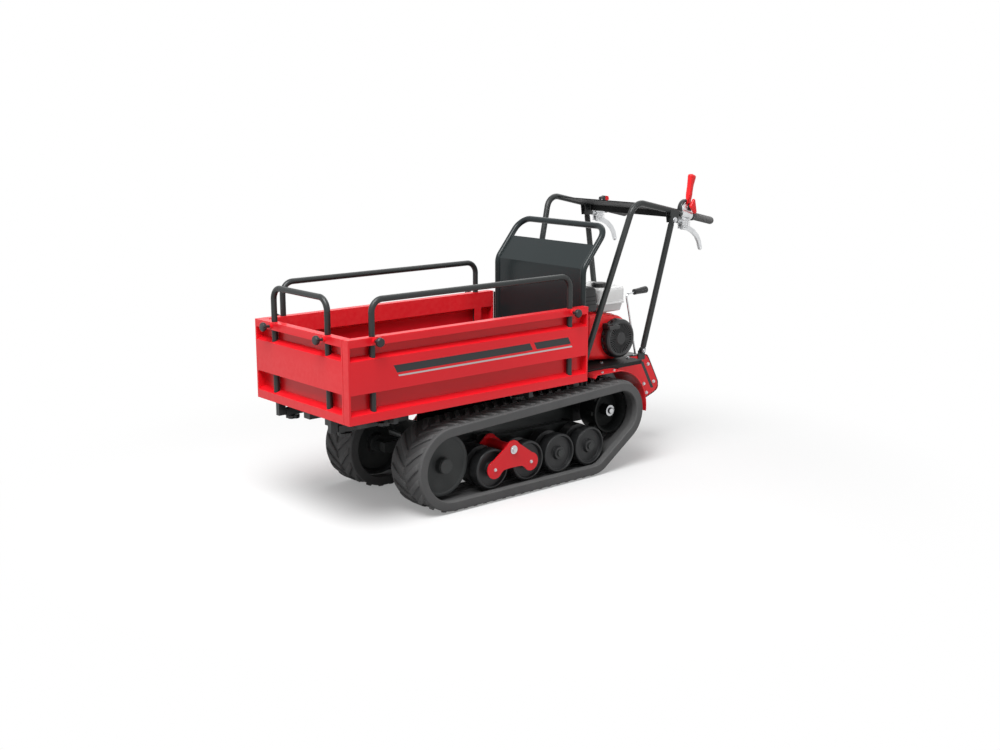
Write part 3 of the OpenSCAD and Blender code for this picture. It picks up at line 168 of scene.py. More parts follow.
def pale_floor():
    """A plain pale floor that keeps the object's shadow near it and is white farther out: the
    share of white grows with the distance from the middle. It throws back less light than it
    shows, so that the recesses of the sides stay dark."""
    finish = bpy.data.materials.new("pale floor")
    finish.use_nodes = True
    tree = finish.node_tree
    shader = tree.nodes["Principled BSDF"]
    pale = tree.nodes.new("ShaderNodeMapRange")
    pale.inputs["To Min"].default_value = FLOOR_BOUNCE
    pale.inputs["To Max"].default_value = FLOOR_SEEN
    tree.links.new(seen_directly(tree), pale.inputs["Value"])
    tree.links.new(pale.outputs["Result"], shader.inputs["Base Color"])
    shader.inputs["Roughness"].default_value = 0.9
    shader.inputs["Specular IOR Level"].default_value = 0.1
    white = tree.nodes.new("ShaderNodeEmission")
    far = tree.nodes.new("ShaderNodeVectorMath")
    far.operation = "LENGTH"
    place = tree.nodes.new("ShaderNodeTexCoord")
    tree.links.new(place.outputs["Object"], far.inputs[0])
    fade = tree.nodes.new("ShaderNodeMapRange")
    fade.interpolation_type = "SMOOTHSTEP"
    fade.inputs["From Min"].default_value = SHADOW_KEPT
    fade.inputs["From Max"].default_value = WHITE_FROM
    fade.inputs["To Min"].default_value = WHITE_LEAST
    tree.links.new(far.outputs["Value"], fade.inputs["Value"])
    share = tree.nodes.new("ShaderNodeMath")
    share.operation = "MULTIPLY"
    tree.links.new(fade.outputs["Result"], share.inputs[0])
    tree.links.new(seen_directly(tree), share.inputs[1])
    mix = tree.nodes.new("ShaderNodeMixShader")
    tree.links.new(share.outputs[0], mix.inputs["Fac"])
    tree.links.new(shader.outputs["BSDF"], mix.inputs[1])
    tree.links.new(white.outputs["Emission"], mix.inputs[2])
    tree.links.new(mix.outputs["Shader"], tree.nodes["Material Output"].inputs["Surface"])
    return finish


floor_mesh = bpy.data.meshes.new("floor")
floor_mesh.from_pydata([(-FLOOR_HALF, -FLOOR_HALF, 0), (FLOOR_HALF, -FLOOR_HALF, 0),
                        (FLOOR_HALF, FLOOR_HALF, 0), (-FLOOR_HALF, FLOOR_HALF, 0)], [], [(0, 1, 2, 3)])
floor_mesh.materials.append(pale_floor())
floor = new_object("floor", floor_mesh)
print("camera distance:", round((CAMERA_AIM - CAMERA_PLACE).length, 3))

# %% [markdown]
# Painted, cast and moulded surfaces are never one flat colour. Each finish here mixes a
# slow change of tone with a fine grain in the bump, both read from the object's own
# coordinates so that they stay put on the part. Worn edges are a little lighter; on the
# road wheels the lighter rims are also a painted highlight.

# %% Finishes
TONE_DETAIL = 4.0
SHEEN_DETAIL = 3.0
GRAIN_DETAIL = 2.0
EDGE_FROM = 0.53
EDGE_TO = 0.60
RUB_SCALE = 60
RUB_LEAST = 0.25
PAINT_SHEEN = (0.03, 4)


class Finish:
    """A small builder for one procedural material: colour change, roughness change and grain."""

    def __init__(self, name, colour, roughness, metallic=0.0):
        self.material = bpy.data.materials.new(name)
        self.material.use_nodes = True
        self.tree = self.material.node_tree
        self.shader = self.tree.nodes["Principled BSDF"]
        self.shader.inputs["Metallic"].default_value = metallic
        self.place = self.tree.nodes.new("ShaderNodeTexCoord").outputs["Object"]
        self.colour = self.flat(colour)
        self.roughness = roughness

    def flat(self, colour):
        rgb = self.tree.nodes.new("ShaderNodeRGB")
        rgb.outputs[0].default_value = (*colour, 1)
        return rgb.outputs[0]

    def noise(self, scale, detail):
        """Noise over the object's coordinates."""
        noise = self.tree.nodes.new("ShaderNodeTexNoise")
        noise.inputs["Scale"].default_value = scale
        noise.inputs["Detail"].default_value = detail
        self.tree.links.new(self.place, noise.inputs["Vector"])
        return noise.outputs["Fac"]

    def math(self, operation, a, b):
        node = self.tree.nodes.new("ShaderNodeMath")
        node.operation = operation
        for socket, value in zip(node.inputs, (a, b)):
            if isinstance(value, (int, float)):
                socket.default_value = value
            else:
                self.tree.links.new(value, socket)
        return node.outputs[0]

    def spread(self, value, low, high, start=0.3, stop=0.7):
        """Maps a value from start..stop to low..high, held at the ends."""
        node = self.tree.nodes.new("ShaderNodeMapRange")
        node.inputs["From Min"].default_value = start
        node.inputs["From Max"].default_value = stop
        node.inputs["To Min"].default_value = low
        node.inputs["To Max"].default_value = high
        self.tree.links.new(value, node.inputs["Value"])
        return node.outputs["Result"]

    def mix(self, amount, other):
        """Mixes the colour so far with another colour by amount."""
        node = self.tree.nodes.new("ShaderNodeMix")
        node.data_type = "RGBA"
        self.tree.links.new(amount, node.inputs["Factor"])
        self.tree.links.new(self.colour, node.inputs["A"])
        node.inputs["B"].default_value = (*other, 1)
        self.colour = node.outputs["Result"]
        return self

    def tone(self, other, scale, most):
        """Slow change of tone towards another colour."""
        return self.mix(self.spread(self.noise(scale, TONE_DETAIL), 0.0, most), other)

    def edge_wear_and_highlight(self, other, most):
        """Lighter along the outer edges, where hands and dust rub; on the road wheels it is also a painted
        highlight on the rims.
        """
        geometry = self.tree.nodes.new("ShaderNodeNewGeometry")
        edge = self.spread(geometry.outputs["Pointiness"], 0.0, most, EDGE_FROM, EDGE_TO)
        rough = self.spread(self.noise(RUB_SCALE, TONE_DETAIL), RUB_LEAST, 1.0)
        return self.mix(self.math("MULTIPLY", edge, rough), other)

    def axis(self, name):
        """The object's coordinate on an axis."""
        split = self.tree.nodes.new("ShaderNodeSeparateXYZ")
        self.tree.links.new(self.place, split.inputs[0])
        return split.outputs[name]

    def between(self, value, low, high, soft=0.0006):
        """1 where a value lies between low and high."""
        up = self.spread(value, 0.0, 1.0, low - soft, low + soft)
        down = self.spread(value, 1.0, 0.0, high - soft, high + soft)
        return self.math("MULTIPLY", up, down)

    def grain(self, scale, height):
        """Fine grain in the bump, height in metres."""
        bump = self.tree.nodes.new("ShaderNodeBump")
        bump.inputs["Strength"].default_value = 1.0
        bump.inputs["Distance"].default_value = height
        self.tree.links.new(self.noise(scale, GRAIN_DETAIL), bump.inputs["Height"])
        if self.shader.inputs["Normal"].is_linked:
            before = self.shader.inputs["Normal"].links[0].from_socket
            self.tree.links.new(before, bump.inputs["Normal"])
        self.tree.links.new(bump.outputs["Normal"], self.shader.inputs["Normal"])
        return self

    def shine(self, level):
        """Strength of the plain reflection, half for common paint."""
        self.shader.inputs["Specular IOR Level"].default_value = level
        return self

    def coat(self, weight, roughness):
        self.shader.inputs["Coat Weight"].default_value = weight
        self.shader.inputs["Coat Roughness"].default_value = roughness
        return self

    def done(self, swing=0.06, scale=14):
        """Joins the colour and a gently changing roughness to the shader."""
        self.tree.links.new(self.colour, self.shader.inputs["Base Color"])
        slow = self.noise(scale, SHEEN_DETAIL)
        rough = self.spread(slow, self.roughness - swing, self.roughness + swing)
        self.tree.links.new(rough, self.shader.inputs["Roughness"])
        return self.material


def red_paint(name, colour=(0.84, 0.010, 0.020)):
    return (Finish(name, colour, 0.36).tone((0.74, 0.007, 0.015), 3.0, 0.25)
            .edge_wear_and_highlight((0.92, 0.08, 0.08), 0.3).grain(1400, 0.00002).shine(0.3).coat(0.12, 0.10))


tray_red = red_paint("tray red paint").done(*PAINT_SHEEN)
engine_red = red_paint("engine red paint", (0.84, 0.014, 0.018)).done(0.03, 6)
tube_black = (Finish("satin black paint", (0.020, 0.023, 0.023), 0.36)
              .tone((0.030, 0.033, 0.033), 7.0, 0.5).edge_wear_and_highlight((0.10, 0.10, 0.10), 0.25)
              .grain(1200, 0.00004).shine(0.35).done())
# Painted shade: the deck's black is deepened to near black, standing in for the shadow of the engine over
# it. The sprocket drums, the dash and the plate edging share this colour.
deck_black_painted_shade = (Finish("deck black painted shade", (0.005, 0.006, 0.006), 0.55)
              .tone((0.010, 0.011, 0.011), 6.0, 0.5).edge_wear_and_highlight((0.05, 0.05, 0.05), 0.2)
              .grain(900, 0.00006).shine(0.18).done())
charcoal_paint = (Finish("charcoal paint", (0.014, 0.020, 0.021), 0.24)
                  .tone((0.020, 0.027, 0.029), 2.0, 0.6).edge_wear_and_highlight((0.10, 0.11, 0.11), 0.25)
                  .grain(700, 0.00002).shine(0.22).done(0.03, 3))
# Painted highlight: the wheels' strong lighter edges stand in for bright rim highlights as well as wear.
wheel_black = (Finish("wheel black paint", (0.017, 0.018, 0.019), 0.40)
               .tone((0.030, 0.031, 0.032), 18.0, 0.6).edge_wear_and_highlight((0.12, 0.12, 0.12), 0.5)
               .grain(700, 0.00006).shine(0.35).done())
idler_grey = (Finish("idler grey paint", (0.046, 0.050, 0.050), 0.50).tone((0.058, 0.062, 0.062), 9.0, 0.6)
              .edge_wear_and_highlight((0.10, 0.10, 0.10), 0.4).grain(700, 0.00006).shine(0.3).done())
track_rubber = (Finish("track rubber", (0.108, 0.108, 0.109), 0.78).tone((0.088, 0.088, 0.089), 9.0, 0.7)
                .edge_wear_and_highlight((0.18, 0.18, 0.175), 0.45).grain(600, 0.0002).grain(90, 0.0002).shine(0.25).done())
grip_rubber = (Finish("grip rubber", (0.145, 0.145, 0.145), 0.66).tone((0.18, 0.18, 0.18), 25.0, 0.6)
               .grain(1400, 0.0001).shine(0.3).done())
black_plastic = (Finish("black moulded plastic", (0.013, 0.014, 0.015), 0.38)
                 .tone((0.021, 0.021, 0.022), 20.0, 0.6).edge_wear_and_highlight((0.08, 0.08, 0.08), 0.3)
                 .grain(1600, 0.00006).shine(0.45).done())
red_plastic = (Finish("red moulded plastic", (0.92, 0.014, 0.018), 0.34)
               .tone((0.84, 0.01, 0.014), 20.0, 0.5).grain(900, 0.00003).shine(0.3).coat(0.15, 0.1).done())
cast_dark = (Finish("dark casting", (0.040, 0.042, 0.044), 0.55, 0.25).tone((0.075, 0.075, 0.08), 30.0, 0.6)
             .edge_wear_and_highlight((0.2, 0.2, 0.2), 0.3).grain(350, 0.0003).done())
hot_steel = (Finish("heated steel", (0.16, 0.14, 0.12), 0.46, 0.8).tone((0.07, 0.062, 0.06), 16.0, 0.8)
             .grain(500, 0.0002).done())
die_cast = (Finish("die cast alloy", (0.70, 0.71, 0.72), 0.36, 1.0).tone((0.57, 0.58, 0.59), 40.0, 0.7)
            .grain(500, 0.00008).done())
zinc_plate = (Finish("zinc plate", (0.62, 0.63, 0.64), 0.32, 1.0).tone((0.47, 0.48, 0.50), 60.0, 0.6)
              .grain(900, 0.00004).done())
bright_rod = (Finish("bright rod", (0.72, 0.73, 0.74), 0.16, 1.0).tone((0.60, 0.61, 0.62), 30.0, 0.5)
              .grain(1500, 0.00002).done(0.03))

TANK_SEAM = 0.668
tank_paint = Finish("tank paint", (0.86, 0.86, 0.855), 0.30).tone((0.80, 0.80, 0.80), 6.0, 0.4)
# Painted shade: below the seam the tank takes a darker grey, standing in for the shade on its lower shell.
tank_paint.mix(tank_paint.between(tank_paint.axis("Z"), 0.0, TANK_SEAM), (0.66, 0.66, 0.66))
tank_paint = tank_paint.edge_wear_and_highlight((0.85, 0.85, 0.85), 0.3).grain(900, 0.00004).coat(0.3, 0.1).done()
THROTTLE_TIP = -0.838
throttle_plastic = Finish("throttle plastic", (0.88, 0.014, 0.018), 0.36)
throttle_plastic.tone((0.80, 0.01, 0.014), 20.0, 0.5)
past_tip = throttle_plastic.between(throttle_plastic.axis("X"), THROTTLE_TIP, 0.0)
throttle_plastic.mix(past_tip, (0.014, 0.015, 0.016))
throttle_plastic = throttle_plastic.grain(900, 0.00003).shine(0.3).done()
print("finishes:", len(bpy.data.materials))

# %% [markdown]
# The long sides carry plain stripes on their middle band: a long and a short dark bar with
# slanted ends and a thin pale line under both. The rear plates carry one slanted bar. They
# are painted by position, so they need no picture: each edge is a test on the object's X
# and Z, with X sheared by Z to slant the ends. The slide bars under each side are dark,
# split from the red by height.

# %% Striped side paint
BAND_MIDDLE = 0.568
PANEL_FOOT = 0.4036
FOOT_SOFT = 0.0002
SIDE_OUTSIDE = 0.304
PLATE_OUTSIDE = 0.1215
OUTSIDE_SOFT = 0.0005
BAR_DARK = (0.016, 0.017, 0.018)
BAR_SLANT = 0.55
STRIPE_DARK = (0.024, 0.027, 0.029)
STRIPE_PALE = (0.60, 0.60, 0.60)


def panel_paint(name):
    """Red paint for a side, dark below the side's foot."""
    paint = red_paint(name)
    return paint.mix(paint.between(paint.axis("Z"), 0.0, PANEL_FOOT, FOOT_SOFT), BAR_DARK)


def slanted_bars(paint, outside_from, bars):
    """Paints bars (x0, x1, z0, z1, colour), their ends slanted by X less a share of Z, where the
    distance from the middle plane is over outside_from."""
    height = paint.axis("Z")
    lean = paint.math("MULTIPLY", paint.math("SUBTRACT", height, BAND_MIDDLE), BAR_SLANT)
    slanted = paint.math("SUBTRACT", paint.axis("X"), lean)
    side = paint.math("ABSOLUTE", paint.axis("Y"), 0.0)
    outside = paint.spread(side, 0.0, 1.0, outside_from - OUTSIDE_SOFT, outside_from)
    for x0, x1, z0, z1, colour in bars:
        flat = paint.math("MULTIPLY", paint.between(slanted, x0, x1), paint.between(height, z0, z1))
        paint.mix(paint.math("MULTIPLY", flat, outside), colour)
    return paint.done(*PAINT_SHEEN)


SIDE_BARS = [(0.10, 0.74, 0.566, 0.594, STRIPE_DARK), (-0.10, 0.08, 0.566, 0.594, STRIPE_DARK),
             (-0.10, 0.74, 0.552, 0.558, STRIPE_PALE)]
PLATE_BAR = [(-0.614, -0.596, 0.262, 0.388, STRIPE_DARK)]
side_red = slanted_bars(panel_paint("side red paint"), SIDE_OUTSIDE, SIDE_BARS)
plate_red = slanted_bars(red_paint("plate red paint"), PLATE_OUTSIDE, PLATE_BAR)
front_red = panel_paint("front red paint").done(*PAINT_SHEEN)
# Painted shade: a darker red for the recessed sheet, standing in for the shade under the rails.
recess_painted_shade_red = red_paint("recess red painted shade", (0.66, 0.008, 0.015)).done(*PAINT_SHEEN)

# %% [markdown]
# Real sheet, tube and castings have no razor edges, and a rounded edge is what catches
# the light. Each solid is copied, its loose triangles are merged into flat faces, and a
# small bevel rounds every edge sharper than a set angle. The copy stands for the solid.
# Where one solid holds two materials, as a plated bolt on a painted plate, the faces whose
# middles lie in a box take the second finish. The recessed sheet of the tray's sides and
# front takes a darker red the same way, as painted shade.

# %% Rounded solids
MERGE_WITHIN = 2e-6
FLAT_WITHIN = math.radians(0.4)
SHARP_FROM = math.radians(32.0)
EDGE_STEPS = 2


def accent(mesh, finish, *boxes):
    """Gives a second finish to the faces whose middles, with Y taken positive, lie in a box."""
    middles = np.empty(3 * len(mesh.polygons))
    mesh.polygons.foreach_get("center", middles)
    middles = middles.reshape(-1, 3)
    middles[:, 1] = np.abs(middles[:, 1])
    inside = np.any([np.all((middles > low) & (middles < high), axis=1) for low, high in boxes], axis=0)
    mesh.materials.append(finish)
    mesh.polygons.foreach_set("material_index", inside.astype(np.int32))


BOGIE_FACE = 0.2942
bolt_heads = (zinc_plate, ((-1.0, BOGIE_FACE, 0.0), (1.0, 0.32, 0.4)))
hub_ends = (zinc_plate, ((-0.42, 0.2435, 0.205), (-0.355, 0.2450, 0.275)),
            ((-0.42, 0.2470, 0.205), (-0.355, 0.27, 0.275)))
TRAY_FRONT, TRAY_SIDE = 0.944, 0.305
RECESS_NEAR, RECESS_FAR = 0.0285, 0.0315
# Painted shade: faces of the recessed sheet, found by their distance from the middle, take the darker red.
side_recess_painted_shade = (recess_painted_shade_red, ((-1.0, TRAY_SIDE - RECESS_FAR, 0.0), (1.0, TRAY_SIDE - RECESS_NEAR, 1.0)))
front_recess_painted_shade = (recess_painted_shade_red, ((TRAY_FRONT - RECESS_FAR, -0.01, 0.0), (TRAY_FRONT - RECESS_NEAR, 1.0, 1.0)))
ACCENTS = {
    "left_panel": side_recess_painted_shade, "right_panel": side_recess_painted_shade, "front_panel": front_recess_painted_shade,
    "track_frames": bolt_heads, "bogie_left": bolt_heads, "bogie_right": bolt_heads,
    "sprocket_left": hub_ends, "sprocket_right": hub_ends,
    "handlebar_frame": (deck_black_painted_shade, ((-0.76, -0.01, 1.0), (-0.52, 0.235, 1.11))),
    "gear_lever": (black_plastic, ((-0.80, 0.0, 0.66), (-0.6815, 0.12, 0.72))),
    "lever_perches": (black_plastic, ((-0.845, 0.235, 1.0525), (-0.795, 0.275, 1.080))),
}


def rounded(node, width, finish):
    """A copy of a solid with merged faces and every sharp edge rounded by width metres."""
    grid = bmesh.new()
    grid.from_mesh(nodes[node].data)
    bmesh.ops.remove_doubles(grid, verts=grid.verts, dist=MERGE_WITHIN)
    bmesh.ops.dissolve_limit(grid, angle_limit=FLAT_WITHIN, verts=grid.verts, edges=grid.edges)
    mesh = bpy.data.meshes.new(node + "_skin")
    grid.to_mesh(mesh)
    grid.free()
    mesh.shade_smooth()
    mesh.set_sharp_from_angle(angle=SHARP_FROM)
    mesh.materials.append(finish)
    if node in ACCENTS:
        accent(mesh, *ACCENTS[node])
    skin = new_object(node + "_skin", mesh)
    edge = skin.modifiers.new("rounded edges", "BEVEL")
    edge.width = width
    edge.segments = EDGE_STEPS
    edge.limit_method = "ANGLE"
    edge.angle_limit = SHARP_FROM
    edge.harden_normals = True
    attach(skin, body_of_node[node])
    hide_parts(node)


thin_tube = (0.0008, tube_black)
SKINS = {
    "chassis_frame": (0.0015, tube_black), "track_frames": (0.0015, tube_black),
    "tensioners": (0.0015, idler_grey), "engine_deck": (0.002, deck_black_painted_shade),
    "rear_plates": (0.001, plate_red), "rear_cover": thin_tube, "mudguards": (0.0008, tray_red),
    "gearbox_housing": (0.006, cast_dark), "engine_block": (0.0018, cast_dark),
    "muffler": (0.0008, hot_steel), "belt_guard": (0.003, tube_black),
    "handlebar_frame": thin_tube, "struts": thin_tube,
    "lever_perches": (0.0012, die_cast), "frame_bolts": (0.0006, zinc_plate),
    "bed": (0.001, tube_black), "backrest": (0.0008, charcoal_paint),
    "slide_knobs": (0.0015, black_plastic),
    "front_panel": (0.0012, front_red), "left_panel": (0.0012, side_red), "right_panel": (0.0012, side_red),
    "front_hoop": thin_tube, "left_hoop": thin_tube, "right_hoop": thin_tube,
    "sprocket_left": (0.0012, deck_black_painted_shade), "sprocket_right": (0.0012, deck_black_painted_shade),
    "idler_left": (0.0015, idler_grey), "idler_right": (0.0015, idler_grey),
    "bogie_left": (0.0012, tray_red), "bogie_right": (0.0012, tray_red),
    "clutch_lever_left": (0.003, die_cast), "clutch_lever_right": (0.003, die_cast),
    "throttle_lever": (0.0025, throttle_plastic),
    "gear_lever": (0.001, bright_rod), "fuel_cap": (0.0012, black_plastic),
    "starter_grip": (0.003, black_plastic),
}
for knob in ("front_knob_left", "front_knob_right", "left_knob_front", "left_knob_rear",
             "right_knob_front", "right_knob_rear"):
    SKINS[knob] = (0.001, black_plastic)
for side in ("left", "right"):
    for place in range(1, 5):
        SKINS[f"roller_{side}_{place}"] = (0.0015, wheel_black)
for name, (width, finish) in SKINS.items():
    rounded(name, width, finish)
print("rounded solids:", len(SKINS))

# %% [markdown]
# New pieces are surfaces worked out as whole arrays: a grid of points in two parameters,
# joined into faces that wrap round where the shape closes on itself.

# %% Surfaces from arrays
POINT_WITHIN = 1e-6


def grid_faces(rows, columns, wrap_rows, wrap_columns):
    """Four-sided faces of a rows by columns grid of points, wrapping where asked."""
    r = np.arange(rows if wrap_rows else rows - 1)
    c = np.arange(columns if wrap_columns else columns - 1)
    r, c = (a.ravel() for a in np.meshgrid(r, c, indexing="ij"))
    r1 = (r + 1) % rows
    c1 = (c + 1) % columns
    return np.stack([r * columns + c, r * columns + c1, r1 * columns + c1, r1 * columns + c], 1)


def closed_rings(rows, count):
    """Faces between rings of count points laid side by side, with both ends closed."""
    faces = grid_faces(rows, count, False, True).tolist()
    faces.append(list(range(count)))
    faces.append(list(range((rows - 1) * count, rows * count)))
    return faces


def joined(shapes):
    """Several (points, faces) shapes as one."""
    points, faces, offset = [], [], 0
    for shape_points, shape_faces in shapes:
        flat = np.asarray(shape_points).reshape(-1, 3)
        faces += [[i + offset for i in face] for face in shape_faces]
        points.append(flat)
        offset += len(flat)
    return np.concatenate(points), faces


def distances(line):
    """Distance along a line of points from its start to each of them."""
    return np.concatenate([[0], np.cumsum(np.linalg.norm(np.diff(line, axis=0), axis=1))])


def read_line(at, reach, line):
    """Points (u, v) of a line at some distances along it, its own points being at reach."""
    return np.stack([np.interp(at, reach, line[:, k]) for k in (0, 1)], 1)


def surface(name, points, faces, finish, body, replaced=(), sharp=50.0):
    """A mesh piece from arrays, its faces turned outwards, riding on a body."""
    mesh = bpy.data.meshes.new(name)
    mesh.from_pydata(points.reshape(-1, 3).tolist(), [], [list(face) for face in faces])
    grid = bmesh.new()
    grid.from_mesh(mesh)
    bmesh.ops.remove_doubles(grid, verts=grid.verts, dist=POINT_WITHIN)
    bmesh.ops.dissolve_degenerate(grid, edges=grid.edges, dist=POINT_WITHIN)
    bmesh.ops.recalc_face_normals(grid, faces=grid.faces)
    grid.to_mesh(mesh)
    grid.free()
    mesh.shade_smooth()
    mesh.set_sharp_from_angle(angle=math.radians(sharp))
    mesh.materials.append(finish)
    piece = new_object(name, mesh)
    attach(piece, body)
    if replaced:
        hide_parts(*replaced)
    return piece


def turned(profile, start, along, count=48):
    """A profile of (radius, distance) turned about the line from start along a direction."""
    along = np.asarray(along, float) / np.linalg.norm(along)
    helper = np.array([0.0, 0.0, 1.0]) if abs(along[2]) < 0.9 else np.array([1.0, 0.0, 0.0])
    across = np.cross(helper, along)
    across /= np.linalg.norm(across)
    up = np.cross(along, across)
    angle = np.linspace(0, 2 * np.pi, count, endpoint=False)
    ring = np.cos(angle)[:, None] * across + np.sin(angle)[:, None] * up
    profile = np.asarray(profile, float)
    points = np.asarray(start) + ring[:, None, :] * profile[None, :, :1] + along * profile[None, :, 1:]
    return points, grid_faces(count, len(profile), True, False)


# %% [markdown]
# A rubber track is one moulded belt. Its cross-section is carried along a loop made of
# three wheel arcs and the straight runs between them. Every point of the belt and of the
# lugs is given by a distance along the loop, a place across it and a height off it, so
# that the chevron lugs bend with the belt round the wheels.

# %% Track loop
IDLER = (0.488, 0.168, 0.124)
SPROCKET = (-0.389, 0.241, 0.092)
REAR_ROLLER = (-0.240, 0.123, 0.079)
BELT = 0.036
LUG_HEIGHT = 0.008
TRACK_MIDDLE = 0.220
TRACK_HALF = 0.090
LOOP_STEP = 0.004
ARC_POINTS = 160


def run_normal(a, b):
    """Outward unit normal of the straight run from wheel a to wheel b."""
    gap = np.array([b[0] - a[0], b[1] - a[1]])
    far = np.linalg.norm(gap)
    e = gap / far
    k = (a[2] - b[2]) / far
    return e * k + np.array([e[1], -e[0]]) * math.sqrt(1 - k * k)


def loop_path():
    """Points and outward normals of the belt's inner face, evenly spaced along the loop."""
    wheels = (IDLER, SPROCKET, REAR_ROLLER)
    places, normals = [], []
    for i, wheel in enumerate(wheels):
        n0 = run_normal(wheels[i - 1], wheel)
        n1 = run_normal(wheel, wheels[(i + 1) % 3])
        a0 = math.atan2(n0[1], n0[0])
        span = (math.atan2(n1[1], n1[0]) - a0) % (2 * math.pi)
        t = a0 + span * np.linspace(0, 1, ARC_POINTS)
        n = np.stack([np.cos(t), np.sin(t)], 1)
        places.append(np.array(wheel[:2]) + n * wheel[2])
        normals.append(n)
    places = np.concatenate(places + [places[0][:1]])
    normals = np.concatenate(normals + [normals[0][:1]])
    reach = distances(places)
    s = np.linspace(0, reach[-1], int(reach[-1] / LOOP_STEP), endpoint=False)
    even = read_line(s, reach, places)
    turn = read_line(s, reach, normals)
    return s, even, turn / np.linalg.norm(turn, axis=1)[:, None], reach[-1]


path_s, path_xz, path_n, loop_length = loop_path()


def on_belt(s, across, height):
    """Place of a point by distance along the loop, place across it and height off its inner face."""
    s = np.mod(s, loop_length)
    grown = np.append(path_s, loop_length)
    xz = [np.interp(s, grown, np.append(path_xz[:, k], path_xz[0, k])) for k in (0, 1)]
    n = [np.interp(s, grown, np.append(path_n[:, k], path_n[0, k])) for k in (0, 1)]
    lift = height / np.hypot(n[0], n[1])
    return np.stack(np.broadcast_arrays(xz[0] + n[0] * lift, across, xz[1] + n[1] * lift), -1)


print("loop length:", round(loop_length, 3))

# %% [markdown]
# The belt's section has rounded shoulders, flat flanks, a shallow channel inside that the
# rollers sink into when a bogie rocks, and a groove in it for the sprocket teeth. The lugs
# are steep bars in two rows, swept back from the middle. The rows are shifted by half a
# pitch and stop short of the belt's edges and of its middle. Each lug is a small grid bent
# along the belt.

# %% Tracks
LUGS = 52
LUG_SWEEP = math.tan(math.radians(34.0))
LUG_MIDDLE = 0.045
LUG_SUNK = -0.004
SHOULDER = 0.005
GROOVE_HALF = 0.022
GROOVE_DEEP = 0.015
CHANNEL_HALF = 0.0615
CHANNEL_DEEP = 0.0100


def belt_section():
    """Closed outline of the belt as (across, height), with rounded outer shoulders."""
    half, groove, deep = TRACK_HALF, GROOVE_HALF, GROOVE_DEEP
    t = np.linspace(0, np.pi / 2, 6)
    corner = np.array([half - SHOULDER, BELT - SHOULDER])
    shoulder = corner + SHOULDER * np.stack([np.cos(t), np.sin(t)], 1)
    groove_wall = np.array([[groove - 0.002, deep], [groove, deep - 0.002], [groove, CHANNEL_DEEP]])
    step = np.array([[CHANNEL_HALF, CHANNEL_DEEP], [CHANNEL_HALF, 0.001], [CHANNEL_HALF + 0.001, 0.0]])
    flank = np.array([[half - 0.003, 0.0], [half, 0.003]])
    right = np.concatenate([groove_wall, step, flank, shoulder])
    left = right[::-1] * np.array([-1, 1])
    return np.concatenate([right, left])


def lug_points(count, side):
    """One row of lugs: tapered bars bent along the belt. A bar's middle line runs along the belt
    by the tangent of the sweep for each metre across, and one row is half a pitch behind."""
    across = np.array([0.003, 0.006, 0.011, 0.030, 0.060, 0.070, 0.076, 0.080])
    rise = np.array([0.0, 0.8, 1.0, 1.0, 1.0, 0.95, 0.75, 0.0])
    along = np.array([-0.0110, -0.0098, -0.0078, 0.0, 0.0078, 0.0098, 0.0110])
    crest = np.array([0.0, 0.82, 1.0, 1.0, 1.0, 0.82, 0.0])
    starts = (np.arange(count) + 0.25 * side) * loop_length / count
    s = starts[:, None, None] + along + (across[:, None] - LUG_MIDDLE) * LUG_SWEEP
    y = np.broadcast_to(across[:, None] * side, s.shape)
    h = np.where(crest > 0, LUG_HEIGHT * crest * rise[:, None], LUG_SUNK)
    return on_belt(s, y, BELT + np.broadcast_to(h, s.shape))


def lug_faces(count, rows, columns):
    """Faces of every lug: its top grid and its two closed ends."""
    one = grid_faces(rows, columns, False, False)
    ends = [np.arange(columns)[::-1], (rows - 1) * columns + np.arange(columns)]
    base = np.arange(count)[:, None, None] * rows * columns
    faces = (one[None] + base).reshape(-1, 4).tolist()
    for end in ends:
        faces += (end[None] + np.arange(count)[:, None] * rows * columns).tolist()
    return faces


section = belt_section()
belt_grid = on_belt(path_s[:, None], section[None, :, 0], section[None, :, 1])
belt_shapes = [(belt_grid, grid_faces(len(path_s), len(section), True, True))]
for row in (1, -1):
    lugs = lug_points(LUGS, row)
    belt_shapes.append((lugs, lug_faces(LUGS, lugs.shape[1], lugs.shape[2])))
belt_points, belt_faces = joined(belt_shapes)
for side, sign in (("left", 1), ("right", -1)):
    points = belt_points.copy()
    points[:, 1] = sign * (points[:, 1] + TRACK_MIDDLE)
    points[:, 2] = np.maximum(points[:, 2], 0.0)
    name = "track_" + side
    track = surface(name + "_belt", points, belt_faces, track_rubber, "chassis", (name,), 40.0)
    print(track.name, "faces:", len(track.data.polygons))

# %% [markdown]
# Hand grips are soft sleeves with rings moulded into them, a flange for the thumb and a
# rounded closed end. A profile of radius against distance, with a wave for the rings,
# is turned about the sloping rail.

# %% Hand grips
BAR_SLOPE = math.radians(12.6)
BAR_Y = 0.254
BAR_BEND_X, BAR_BEND_Z = -0.498, 1.097
GRIP_RADIUS = 0.016
GRIP_START_X, GRIP_END_X = -0.848, -0.984
GRIP_LENGTH = (GRIP_START_X - GRIP_END_X - GRIP_RADIUS) / math.cos(BAR_SLOPE)
RING_DEEP = 0.0009
RING_PITCH = 0.0062


def rail_height(x):
    """Height of the sloping rails at a place along X."""
    return BAR_BEND_Z + (x - BAR_BEND_X) * math.tan(BAR_SLOPE)


